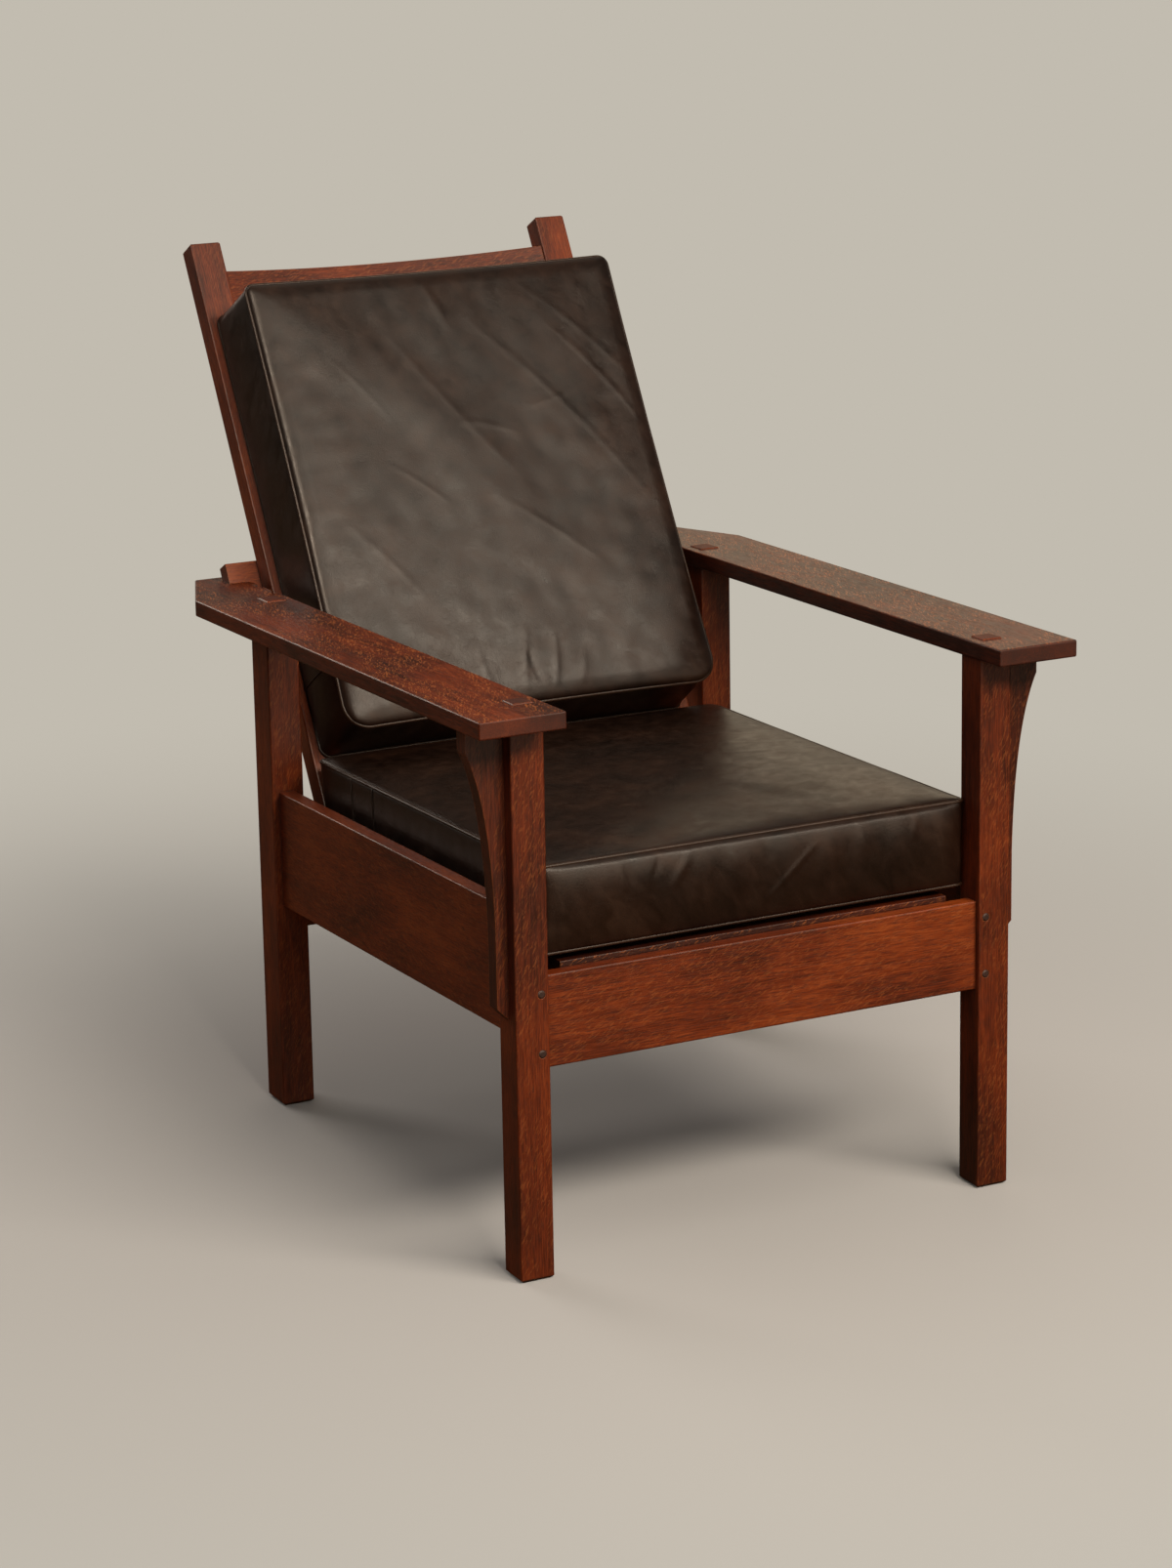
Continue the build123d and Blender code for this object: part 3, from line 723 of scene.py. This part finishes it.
@dataclass(frozen=True)
class Crease:
    """One soft fold in the leather, as a stroke over a panel.

    The places are shares of the panel, -1 to 1 across and along.
    """

    start: tuple[float, float]
    end: tuple[float, float]
    rise: float
    spread: float
    bow: float = 0.0

    def height(self, x: np.ndarray, y: np.ndarray, half: float, length: float) -> np.ndarray:
        """How far the fold lifts each point, in millimetres.

        A bell across the stroke times a sine hump along it; the stroke bows
        aside by a parabola.

        Args:
            x: Points across the panel, in millimetres from its middle.
            y: Points along the panel, in millimetres from its middle.
            half: Half the panel's width.
            length: Half the panel's length.

        Returns:
            The lift of each point.
        """
        start = np.array((self.start[0] * half, self.start[1] * length))
        run = np.array((self.end[0] * half, self.end[1] * length)) - start
        reach = np.hypot(*run)
        aim = run / reach
        share = ((x - start[0]) * aim[0] + (y - start[1]) * aim[1]) / reach
        aside = (y - start[1]) * aim[0] - (x - start[0]) * aim[1]
        aside = aside - self.bow * 4.0 * share * (1.0 - share)
        hump = np.sin(np.pi * np.clip(share, 0.0, 1.0)) ** 0.7
        return self.rise * np.exp(-((aside / self.spread) ** 2)) * hump


def smooth_field(
    rng: np.random.Generator, x: np.ndarray, y: np.ndarray, size: float, waves: int = 14
) -> np.ndarray:
    """A soft random field: plane waves of about one size, summed.

    Args:
        rng: Seeded generator.
        x: Points across, in millimetres.
        y: Points along, in millimetres.
        size: The usual wavelength, in millimetres.
        waves: How many waves.

    Returns:
        Values of about -1 to 1.
    """
    turn = rng.uniform(0.0, 2.0 * np.pi, waves)
    step = 2.0 * np.pi / (size * rng.uniform(0.7, 1.5, waves))
    phase = rng.uniform(0.0, 2.0 * np.pi, waves)
    angle = (
        np.multiply.outer(x, np.cos(turn) * step)
        + np.multiply.outer(y, np.sin(turn) * step)
        + phase
    )
    return np.sin(angle).sum(axis=-1) / np.sqrt(waves)


def reread(field: np.ndarray, shape: tuple[int, ...], wrap: bool = False) -> np.ndarray:
    """A coarse grid's field at the places of a finer grid.

    Between its own places the field runs straight, and a short running mean
    then rounds it off.

    Args:
        field: The coarse values.
        shape: The finer grid's shape.
        wrap: Whether the second axis closes on itself.

    Returns:
        The finer values.
    """
    for axis, count in enumerate(shape):
        closes = wrap and axis == 1
        size = field.shape[axis]
        place = np.arange(count) * (size / count if closes else (size - 1) / (count - 1))
        low = place.astype(int)
        share = (place - low).reshape([-1 if number == axis else 1 for number in range(2)])
        high = (low + 1) % size if closes else np.minimum(low + 1, size - 1)
        field = np.take(field, low, axis) * (1.0 - share) + np.take(field, high, axis) * share
        field = smoothed(field, 1, axis, closes)
    return field


def smoothed(field: np.ndarray, reach: int, axis: int, wrap: bool = False) -> np.ndarray:
    """A running mean over 2*reach + 1 cells, taken three times.

    Args:
        field: The values.
        reach: Cells to each side.
        axis: The axis to run along.
        wrap: Whether the axis closes on itself.

    Returns:
        The smoothed values.
    """
    count = field.shape[axis]
    for _ in range(3):
        pads = [(reach + 1, reach) if number == axis else (0, 0) for number in range(field.ndim)]
        total = np.cumsum(np.pad(field, pads, mode="wrap" if wrap else "edge"), axis=axis)
        high = np.take(total, np.arange(count) + 2 * reach + 1, axis=axis)
        low = np.take(total, np.arange(count), axis=axis)
        field = (high - low) / (2 * reach + 1)
    return field


@dataclass
class BoxedCushion:
    """A boxed leather cushion: two crowned panels, a boxing strip and two welts.

    Lengths are in millimetres. A fill is how far the boxing bulges, at its
    sides and at its near and far ends; below nothing it hollows. The upper
    panel's dents come in a large and a small size, and the boxing's in one.
    """

    name: str
    body: str
    slot: str
    origin: Triple
    along: Triple
    up: Triple
    under: Outline
    upper: Outline
    thickness: float
    under_crown: float
    upper_crown: float
    creases: tuple[Crease, ...] = ()
    front_creases: tuple[Crease, ...] = ()
    joins: tuple[float, ...] = ()
    cell: float = 5.5
    boxing_rows: int = 18
    welt_radius: float = 2.2
    welt_sunk: float = 0.6
    welt_sides: int = 10
    welt_waves: tuple[int, ...] = (7, 11, 17, 29)
    welt_waver: float = 0.02
    join_radius: float = 1.3
    roll: float = 34.0
    roll_share: float = 0.5
    dome_power: float = 0.7
    boxing_fill: float = 2.5
    near_fill: float = 2.5
    far_fill: float = 2.5
    corner_hold: int = 14
    upper_pull: float = 0.4
    dent: float = 0.5
    dent_size: float = 140.0
    small_dent_share: float = 0.3
    small_dent_size: float = 50.0
    boxing_dent: float = 0.35
    boxing_dent_size: float = 42.0
    boxing_dent_stretch: float = 0.35
    crease_fade: float = 12.0
    pressure: float = 4.0
    slack: float = 0.005
    ripple: float = 0.2
    ripple_limit: float = 1.2
    ripple_reach: int = 6
    ripple_fade: float = 14.0
    full_ripple_crown: float = 6.0
    fill: float = 0.8
    belly: float = 0.5
    wear_and_sheen: float = 0.22
    seed: int = 1

    def placed(self, points: np.ndarray) -> np.ndarray:
        """Cushion points in millimetres, as row-frame metres."""
        return points @ np.array((ACROSS, self.along, self.up)) * MM + np.array(self.origin)

    def panel_height(
        self, outline: Outline, across: np.ndarray, along: np.ndarray, crown: float
    ) -> np.ndarray:
        """The crown over a panel.

        A quarter-ellipse roll over the first few centimetres from the seam,
        plus a dome, (1 - u*u)(1 - v*v) to a power.

        Args:
            outline: The seam's plan.
            across: The grid's places over the width.
            along: The grid's places over the length.
            crown: The full height.

        Returns:
            Heights in millimetres.
        """
        share = np.clip(self.from_seam(outline, across, along) / self.roll, 0.0, 1.0)
        rolled = np.sqrt(1.0 - (1.0 - share) ** 2)
        dome = ((1.0 - across**2) * (1.0 - along**2)) ** self.dome_power
        return crown * (self.roll_share * rolled + (1.0 - self.roll_share) * dome)

    @staticmethod
    def from_seam(outline: Outline, across: np.ndarray, along: np.ndarray) -> np.ndarray:
        """How far grid places lie in from the seam.

        The distances to the nearest side and the nearest end are joined by
        (side**-3 + end**-3) ** (-1/3), which rounds them off in the corners.

        Args:
            outline: The seam's plan.
            across: The grid's places over the width.
            along: The grid's places over the length.

        Returns:
            Distances in millimetres.
        """
        half = max(outline.near_half, outline.far_half)
        length = (outline.far - outline.near) / 2.0
        side = np.clip((1.0 - np.abs(across)) * half, 1e-3, None)
        end = np.clip((1.0 - np.abs(along)) * length, 1e-3, None)
        return (side**-3.0 + end**-3.0) ** (-1.0 / 3.0)

    def shell(self, finer: int = 1) -> "Shell":
        """The cushion's closed grid: under panel, upper panel and boxing rings.

        The boxing runs straight from seam to seam, plus its fill times
        s**belly * (1 - s)**upper_pull, scaled to a height of 1, where s goes
        from 0 at the under seam to 1 at the upper one. The fill passes from
        the sides' to the ends' by the square of how much the boxing faces
        them, and dies away in the corners.

        Args:
            finer: How many finished cells go to one cell of the cloth.

        Returns:
            The shell.
        """
        half = max(self.upper.near_half, self.upper.far_half)
        length = self.upper.far - self.upper.near
        columns = finer * int(round(2.0 * half / self.cell))
        rows = finer * int(round(length / self.cell))
        boxing_rows = finer * self.boxing_rows
        across, along = np.meshgrid(np.linspace(-1, 1, columns + 1), np.linspace(-1, 1, rows + 1))
        count = across.size
        number = np.arange(count).reshape(across.shape)
        ring = np.concatenate(
            (number[0, :-1], number[:-1, -1], number[-1, :0:-1], number[:0:-1, 0])
        )
        around = len(ring)

        low = self.panel_height(self.under, across, along, self.under_crown)
        high = self.panel_height(self.upper, across, along, self.upper_crown)
        under = np.dstack((self.under.points(across, along), -low)).reshape(-1, 3)
        upper = np.dstack((self.upper.points(across, along), self.thickness + high)).reshape(-1, 3)

        inner = boxing_rows - 1
        share = (np.arange(1, inner + 1) / boxing_rows)[:, None, None]
        boxing = under[ring] * (1 - share) + upper[ring] * share
        step = np.roll(upper[ring], -1, axis=0) - np.roll(upper[ring], 1, axis=0)
        out = np.stack((step[:, 1], -step[:, 0], np.zeros(around)), axis=-1)
        out /= np.linalg.norm(out, axis=1, keepdims=True)
        facing = out[:, 1]
        full = self.boxing_fill * np.ones(around)
        full += (self.near_fill - self.boxing_fill) * np.clip(-facing, 0, 1) ** 2
        full += (self.far_fill - self.boxing_fill) * np.clip(facing, 0, 1) ** 2
        place_across, place_along = across.ravel()[ring], along.ravel()[ring]
        nearer = np.minimum(np.abs(place_across), np.abs(place_along))
        middle = 1.0 - nearer**self.corner_hold
        bulge = share**self.belly * (1.0 - share) ** self.upper_pull
        peak = self.belly / (self.belly + self.upper_pull)
        bulge /= peak**self.belly * (1.0 - peak) ** self.upper_pull
        boxing += out * (full * middle)[:, None] * bulge

        points = np.concatenate((under, upper, boxing.reshape(-1, 3)))
        panel = np.stack(
            (number[:-1, :-1], number[1:, :-1], number[1:, 1:], number[:-1, 1:]), axis=-1
        ).reshape(-1, 4)
        strip = (np.arange(inner * around) + 2 * count).reshape(inner, around)
        rings = np.concatenate((ring[None], strip, ring[None] + count))
        ahead = np.roll(rings, -1, axis=1)
        side = np.stack((rings[:-1], ahead[:-1], ahead[1:], rings[1:]), axis=-1).reshape(-1, 4)
        quads = np.concatenate((panel, panel[:, ::-1] + count, side))
        return Shell(points, quads, across, along, rings, out, columns)

    def rippled(self, shell: "Shell") -> None:
        """Blows the shell up as cloth and keeps the ripples that the fill leaves in it.

        A ripple is what the cloth moved, less that movement smoothed over its
        neighbours; it fades out at the seams and is held to a limit.

        Args:
            shell: The shell, whose points are moved.
        """
        cloth = self.shell()
        moved = blown_up(cloth, self.pressure, self.slack)
        LOG.info("%s: cloth moved up to %.1f mm", self.name, float(np.abs(moved).max()))
        grid, fine_grid = cloth.across.shape, shell.across.shape
        count, fine_count = cloth.across.size, shell.across.size
        reach = self.ripple_reach
        panels = ((self.under, self.under_crown), (self.upper, self.upper_crown))
        for number, (outline, crown) in enumerate(panels):
            lift = moved[number * count : (number + 1) * count, 2].reshape(grid)
            ripple = self.held(lift - smoothed(smoothed(lift, reach, 0), reach, 1))
            inset = self.from_seam(outline, shell.across, shell.along)
            fade = np.clip(inset / self.ripple_fade, 0.0, 1.0)
            ripple = reread(ripple, fine_grid) * fade * min(1.0, crown / self.full_ripple_crown)
            shell.points[number * fine_count : (number + 1) * fine_count, 2] += ripple.ravel()
        lift = (moved[cloth.rings] * cloth.out).sum(axis=-1)
        ripple = self.held(lift - smoothed(lift, reach, 1, wrap=True))
        ripple = reread(ripple, shell.rings.shape, wrap=True)[1:-1]
        shell.points[shell.rings[1:-1]] += ripple[..., None] * shell.out

    def held(self, ripple: np.ndarray) -> np.ndarray:
        """Ripples scaled and held softly to the limit."""
        return self.ripple_limit * np.tanh(self.ripple * ripple / self.ripple_limit)

    def creased(self, shell: "Shell") -> None:
        """Adds the folds and soft dents to the upper panel and the front boxing.

        Args:
            shell: The shell, whose points are moved.
        """
        half = max(self.upper.near_half, self.upper.far_half)
        length = (self.upper.far - self.upper.near) / 2.0
        count = shell.across.size
        panel = shell.points[count : 2 * count]
        x, y = panel[:, 0], panel[:, 1] - (self.upper.far + self.upper.near) / 2.0
        rng = np.random.default_rng(self.seed)
        large = smooth_field(rng, x, y, self.dent_size)
        small = smooth_field(rng, x, y, self.small_dent_size)
        lift = self.dent * (large + self.small_dent_share * small)
        lift = lift + sum(crease.height(x, y, half, length) for crease in self.creases)
        inset = self.from_seam(self.upper, shell.across, shell.along)
        fade = np.clip(inset / self.crease_fade, 0, 1).ravel()
        panel[:, 2] += lift * fade

        front = shell.rings[1:-1, : shell.columns]
        place = shell.points[front]
        last = len(shell.rings) - 1
        rise = np.sin(np.pi * np.arange(1, last) / last)[:, None]
        half_thickness = self.thickness / 2.0
        high = place[..., 2] - half_thickness
        push = np.zeros(high.shape)
        for crease in self.front_creases:
            push += crease.height(place[..., 0], high, half, half_thickness)
        push += self.boxing_dent * smooth_field(
            rng, place[..., 0], self.boxing_dent_stretch * high, self.boxing_dent_size
        )
        shell.points[front, 1] -= push * rise**0.5

    def tube(self, path: np.ndarray, name: str, radius: float, closed: bool) -> bpy.types.Object:
        """Piping: a circle carried along a path, its size wavering a little.

        Args:
            path: The line in order, in millimetres.
            name: The piece's name.
            radius: The piping's radius, in millimetres.
            closed: Whether it joins up; if not, its ends are closed off.

        Returns:
            The piping.
        """
        sides = self.welt_sides
        if closed:
            ahead = np.roll(path, -1, axis=0) - np.roll(path, 1, axis=0)
        else:
            ahead = np.gradient(path, axis=0)
        ahead /= np.linalg.norm(ahead, axis=1, keepdims=True)
        middle = np.array((0.0, (self.upper.near + self.upper.far) / 2.0, 0.0))
        out = path - middle
        out -= (out * ahead).sum(axis=1, keepdims=True) * ahead
        out /= np.linalg.norm(out, axis=1, keepdims=True)
        top = np.cross(out, ahead)
        turn = np.arange(sides) * 2 * np.pi / sides
        rng = np.random.default_rng(self.seed + 5)
        travel = np.arange(len(path)) / len(path) * 2 * np.pi
        waver = sum(np.sin(travel * waves + rng.uniform(0, 6.3)) for waves in self.welt_waves)
        size = radius * (1 + self.welt_waver * waver)
        circle = np.cos(turn)[:, None] * out[:, None] + np.sin(turn)[:, None] * top[:, None]
        points = path[:, None] + circle * size[:, None, None]
        number = np.arange(len(path) * sides).reshape(len(path), sides)
        after = np.roll(number, -1, axis=0)
        if not closed:
            number, after = number[:-1], after[:-1]
        quads = np.stack(
            (number, after, np.roll(after, -1, axis=1), np.roll(number, -1, axis=1)), axis=-1
        ).reshape(-1, 4)
        faces = quads.tolist()
        if not closed:
            last = (len(path) - 1) * sides
            faces += [list(range(sides)), list(range(last, last + sides))[::-1]]
        return new_mesh(name, self.placed(points.reshape(-1, 3)), faces)

    def build(self, hide: bpy.types.Material) -> None:
        """Builds, places and finishes the cushion, its welts and its boxing joins.

        Args:
            hide: The leather.
        """
        shell = self.shell(finer=2)
        self.rippled(shell)
        self.creased(shell)
        cover = new_mesh(f"{self.name}_cover", self.placed(shell.points), shell.quads)
        pieces = [cover]
        inward = -self.welt_sunk * shell.out
        for name, number in (("under", 0), ("upper", -1)):
            path = shell.points[shell.rings[number]] + inward
            pieces.append(self.tube(path, f"{self.name}_welt_{name}", self.welt_radius, True))
        for number, share in enumerate(self.joins):
            column = int(share * shell.rings.shape[1])
            path = shell.points[shell.rings[:, column]]
            name = f"{self.name}_join_{number + 1}"
            pieces.append(self.tube(path, name, self.join_radius, False))
        for piece in pieces:
            # The welts and joins get a lighter colour: rubbed wear and a painted highlight.
            worn_and_sheen = 0.0 if piece is cover else self.wear_and_sheen
            rub_and_sheen = piece.data.attributes.new("rub_and_sheen", "FLOAT", "POINT")
            rub_and_sheen.data.foreach_set("value", np.full(len(rub_and_sheen.data), worn_and_sheen, np.float32))
            piece.data.materials.append(hide)
            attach(piece, self.body)
        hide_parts(self.body)
        LOG.info("%s: %d pieces, %d points", self.name, len(pieces), len(shell.points))


@dataclass
class Shell:
    """A cushion's closed grid, in its own millimetres."""

    points: np.ndarray
    quads: np.ndarray
    across: np.ndarray
    along: np.ndarray
    rings: np.ndarray
    out: np.ndarray
    columns: int


def blown_up(shell: Shell, pressure: float, slack: float) -> np.ndarray:
    """Blows a shell up as cloth, its seams held.

    Args:
        shell: The shell.
        pressure: The fill's pressure.
        slack: The share by which the leather was cut larger.

    Returns:
        How far each point moved, in millimetres.
    """
    scene = bpy.context.scene
    test = new_mesh("filling", shell.points * MM, shell.quads)
    held = np.unique(np.concatenate((shell.rings[0], shell.rings[-1])))
    test.vertex_groups.new(name="seams").add(held.tolist(), 1.0, "REPLACE")
    cloth = test.modifiers.new("cloth", "CLOTH")
    settings = cloth.settings
    settings.quality = 5
    settings.mass = 0.3
    settings.vertex_group_mass = "seams"
    settings.use_pressure = True
    settings.uniform_pressure_force = pressure
    settings.shrink_min = -slack
    settings.effector_weights.gravity = 0.0
    cloth.collision_settings.use_collision = False
    cloth.point_cache.frame_start = 1
    cloth.point_cache.frame_end = CLOTH_FRAMES
    for number in range(1, CLOTH_FRAMES + 1):
        scene.frame_set(number)
    shown = test.evaluated_get(bpy.context.evaluated_depsgraph_get())
    result = np.empty(len(shell.points) * 3, np.float32)
    shown.data.vertices.foreach_get("co", result)
    bpy.data.objects.remove(test)
    scene.frame_set(1)
    return result.reshape(-1, 3).astype(float) / MM - shell.points


def seat_cushion() -> BoxedCushion:
    """The seat cushion, lying on the slatted seat.

    Its rear edge leaves room for the back posts at the full tilt.

    Returns:
        The cushion.
    """
    return BoxedCushion(
        name="seat_cushion", body="seat_cushion", slot="seat_leather",
        origin=tipped(0.0, 0.0, 366.1), along=ALONG, up=UPRIGHT,
        under=Outline(28.0, 586.0, 277.4, 277.0, 9.0, 16.0, draw_in=1.0),
        upper=Outline(27.0, 604.5, 277.4, 277.0, 9.0, 16.0, draw_in=1.0),
        thickness=99.6, under_crown=8.0, upper_crown=11.0, near_fill=12.0, far_fill=1.0,
        belly=0.6, seed=7,
        creases=(
            Crease((0.98, 0.15), (0.25, 0.38), 0.4, 6.0, 10.0),
            Crease((0.98, 0.32), (0.35, 0.5), 0.35, 5.0, -8.0),
            Crease((0.98, 0.02), (0.45, 0.1), 0.35, 5.0, 6.0),
            Crease((0.98, 0.5), (0.5, 0.62), 0.3, 5.0, 4.0),
            Crease((0.7, -0.75), (-0.3, -0.3), -1.4, 40.0, 14.0),
            Crease((-0.9, -0.6), (-0.1, 0.1), -0.9, 30.0, 10.0),
        ),
        front_creases=(
            Crease((0.0, -0.7), (0.28, 0.7), 1.1, 3.5, 2.0),
            Crease((-0.42, 0.1), (-0.32, 0.95), 1.4, 6.0),
            Crease((-0.62, 0.2), (-0.66, 0.97), 0.9, 4.5),
            Crease((-0.5, 0.4), (-0.46, 0.97), -0.8, 4.0),
            Crease((-0.1, 0.3), (-0.15, 0.97), 0.9, 5.0),
            Crease((0.05, 0.4), (0.0, 0.97), -0.7, 4.0),
            Crease((0.5, 0.2), (0.46, 0.97), 0.7, 6.0),
            Crease((0.72, 0.3), (0.75, 0.97), 0.7, 5.0),
        ),
        joins=(0.815, 0.79),
    )


def back_cushion() -> BoxedCushion:
    """The back cushion, leaning on the posts, its upper panel to the sitter.

    Its near end is hollow and hangs low at the rear: it closes the view over
    the seat at rest and clears the seat cushion at the full tilt.

    Returns:
        The cushion.
    """
    pivot = np.array(tipped(0.0, 602.5, 352.05))
    return BoxedCushion(
        name="back_cushion", body="back_cushion", slot="back_leather",
        origin=tuple(pivot + np.array(FACING) * 15.6 * MM), along=SLOPED, up=FACING,
        under=Outline(111.0, 691.5, 252.5, 252.5, 14.0, 14.0, draw_in=1.0),
        upper=Outline(117.0, 691.5, 256.5, 252.5, 34.0, 13.0),
        thickness=100.0, under_crown=0.4, upper_crown=16.0, roll=24.0, roll_share=0.68,
        near_fill=-4.5, belly=0.35, seed=11,
        creases=(
            Crease((0.5, 0.72), (1.0, 0.07), 0.36, 4.0, 10.0),
            Crease((0.05, 0.8), (0.9, -0.2), 0.3, 5.0, 12.0),
            Crease((0.4, 0.92), (0.98, 0.36), 0.3, 4.0, 6.0),
            Crease((-0.68, 0.64), (-0.42, 0.32), 0.24, 3.5, 3.0),
            Crease((-0.5, 0.13), (-0.2, -0.1), 0.24, 3.5, 3.0),
            Crease((-0.35, 0.75), (0.2, 0.0), 0.25, 5.0, -6.0),
            Crease((-0.1, 0.28), (0.25, 0.2), 0.24, 3.5, 4.0),
            Crease((0.3, 0.32), (0.62, 0.4), 0.25, 3.5, -5.0),
            Crease((0.0, -0.05), (0.55, -0.45), 0.26, 4.5, 5.0),
            Crease((-0.8, -0.1), (-0.45, -0.5), 0.24, 4.5, 4.0),
            Crease((-0.1, 0.97), (0.0, 0.7), 0.6, 6.0, 2.0),
            Crease((-0.22, -0.93), (-0.26, -0.72), 0.5, 4.0, 2.0),
            Crease((-0.05, -0.95), (0.02, -0.66), 0.7, 4.5, 3.0),
            Crease((0.04, -0.93), (0.0, -0.76), -0.6, 3.5, 2.0),
            Crease((0.1, -0.95), (0.16, -0.7), 0.7, 4.0, -2.0),
            Crease((0.24, -0.95), (0.3, -0.78), 0.4, 5.0, -2.0),
            Crease((-0.6, -0.95), (-0.5, -0.78), 0.4, 6.0, 3.0),
        ),
        joins=(0.96,),
    )


# ---- studio


@dataclass(frozen=True)
class SoftLight:
    """A wide soft light, aimed at a point."""

    name: str
    place: Triple
    width: float
    depth: float
    power: float
    shade: Shade = (255, 237, 214)
    sheen_only: bool = False
    aim: Triple = (0.0, 0.0, 0.5)

    def hang(self) -> None:
        """Adds the light to the scene."""
        light = bpy.data.lights.new(self.name, "AREA")
        light.energy = self.power
        light.shape = "RECTANGLE"
        light.size = self.width
        light.size_y = self.depth
        light.color = paint(self.shade)[:3]
        holder = bpy.data.objects.new(self.name, light)
        holder.location = self.place
        way = Vector(self.aim) - Vector(self.place)
        holder.rotation_euler = way.to_track_quat("-Z", "Y").to_euler()
        holder.visible_camera = False
        holder.visible_diffuse = not self.sheen_only
        bpy.context.scene.collection.objects.link(holder)


@dataclass
class Studio:
    """A pale floor that fades into pale surroundings, soft lights and the camera.

    Only the camera sees the pale surroundings: the timber and the hide mirror
    a darker room, as the photographed ones do.
    """

    floor_shade: Shade = (188, 190, 194)
    room_shade: Shade = (104, 84, 66)
    pale: Shade = (194, 188, 176)
    half_width: float = 40.0
    near: float = 0.3
    far: float = 2.0
    ambient: float = 0.15
    dim_shade: Shade = (250, 240, 226)
    camera_place: Triple = (-2.2838, -4.2902, 1.8064)
    camera_turn: Triple = (73.93, 0.0, -28.33)
    camera_lens: float = 95.29
    lights: tuple[SoftLight, ...] = (
        SoftLight("key", (0.6, -3.1, 2.9), 3.3, 0.9, 155.0),
        SoftLight("front", (0.5, -4.0, 1.35), 3.4, 1.5, 60.0, (255, 230, 200), True),
        SoftLight("left", (-2.2, -1.75, 2.9), 0.9, 0.9, 110.0, (255, 232, 206), True),
        SoftLight("overhead", (0.2, -1.5, 2.9), 1.8, 1.6, 14.0),
        SoftLight("ceiling", (0.6, 1.4, 3.6), 2.4, 2.4, 9.0),
        SoftLight("window", (2.4, 3.35, 1.6), 2.3, 1.3, 11.5, (255, 228, 190)),
        SoftLight("rear", (-1.4, 3.9, 2.2), 2.6, 1.6, 75.0, (255, 240, 224)),
    )

    def build(self) -> None:
        """Makes the floor, the lights, the surroundings and the camera."""
        self.lay_floor()
        for light in self.lights:
            light.hang()
        self.surround()
        bpy.context.scene.view_settings.view_transform = "Standard"
        self.place_camera()
        LOG.info("studio: %d lights", len(self.lights))

    def surround(self) -> None:
        """Pale surroundings for the camera, and dim ones for all other light."""
        world = bpy.data.worlds.new("surroundings")
        world.use_nodes = True
        w = Wires(world.node_tree)
        dim = w.feed(w.node("Background"), Color=paint(self.dim_shade), Strength=self.ambient)
        pale = w.feed(w.node("Background"), Color=paint(self.pale), Strength=1.0)
        seen = w.node("LightPath").outputs["Is Camera Ray"]
        both = w.feed(w.node("MixShader"), seen, dim.outputs[0], pale.outputs[0])
        w.feed(world.node_tree.nodes["World Output"], Surface=both.outputs[0])
        bpy.context.scene.world = world

    def lay_floor(self) -> None:
        """A wide flat floor, lit near the chair and fading into the surroundings."""
        half = self.half_width
        corners = half * np.array(
            ((-1.0, -1.0, 0.0), (1.0, -1.0, 0.0), (1.0, 1.0, 0.0), (-1.0, 1.0, 0.0))
        )
        floor = new_mesh("floor", corners, np.array(((0, 1, 2, 3),)))
        made = bpy.data.materials.new("floor")
        made.use_nodes = True
        w = Wires(made.node_tree)
        path = w.node("LightPath")
        place = w.node("TexCoord").outputs["Object"]
        away = w.feed(w.node("VectorMath", operation="LENGTH"), place)
        seen = path.outputs["Is Camera Ray"]
        fade = w.times(w.ramp(away.outputs["Value"], self.near, self.far), seen)
        shade = w.mix(seen, paint(self.room_shade), paint(self.floor_shade))
        lit = w.feed(w.node("BsdfDiffuse"), Color=shade)
        pale = w.feed(w.node("Emission"), Color=paint(self.pale), Strength=1.0)
        both = w.feed(w.node("MixShader"), fade, lit.outputs[0], pale.outputs[0])
        w.feed(made.node_tree.nodes["Material Output"], Surface=both.outputs[0])
        floor.data.materials.append(made)

    def place_camera(self) -> None:
        """Sets the camera where the photograph was taken from."""
        data = bpy.data.cameras.new("camera")
        data.lens = self.camera_lens
        data.sensor_width = 36.0
        data.clip_end = 60.0
        holder = bpy.data.objects.new("camera", data)
        holder.location = self.camera_place
        holder.rotation_euler = tuple(math.radians(turn) for turn in self.camera_turn)
        bpy.context.scene.collection.objects.link(holder)
        bpy.context.scene.camera = holder


HIDE = HideFinish(
    "espresso_leather", (19, 9, 5), (37, 21, 13), (82, 58, 43), roughness=0.36, specular=0.29
)


def main() -> None:
    """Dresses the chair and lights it."""
    logging.basicConfig(level=logging.INFO, format="%(message)s")
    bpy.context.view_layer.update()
    groups = Groups(oak_group(), arris_group(), hide_group())
    for work in timberwork():
        work.dress(groups)
    hide = HIDE.material(groups)
    for cushion in (seat_cushion(), back_cushion()):
        cushion.build(hide)
    Studio().build()


if __name__ == "__main__":
    main()
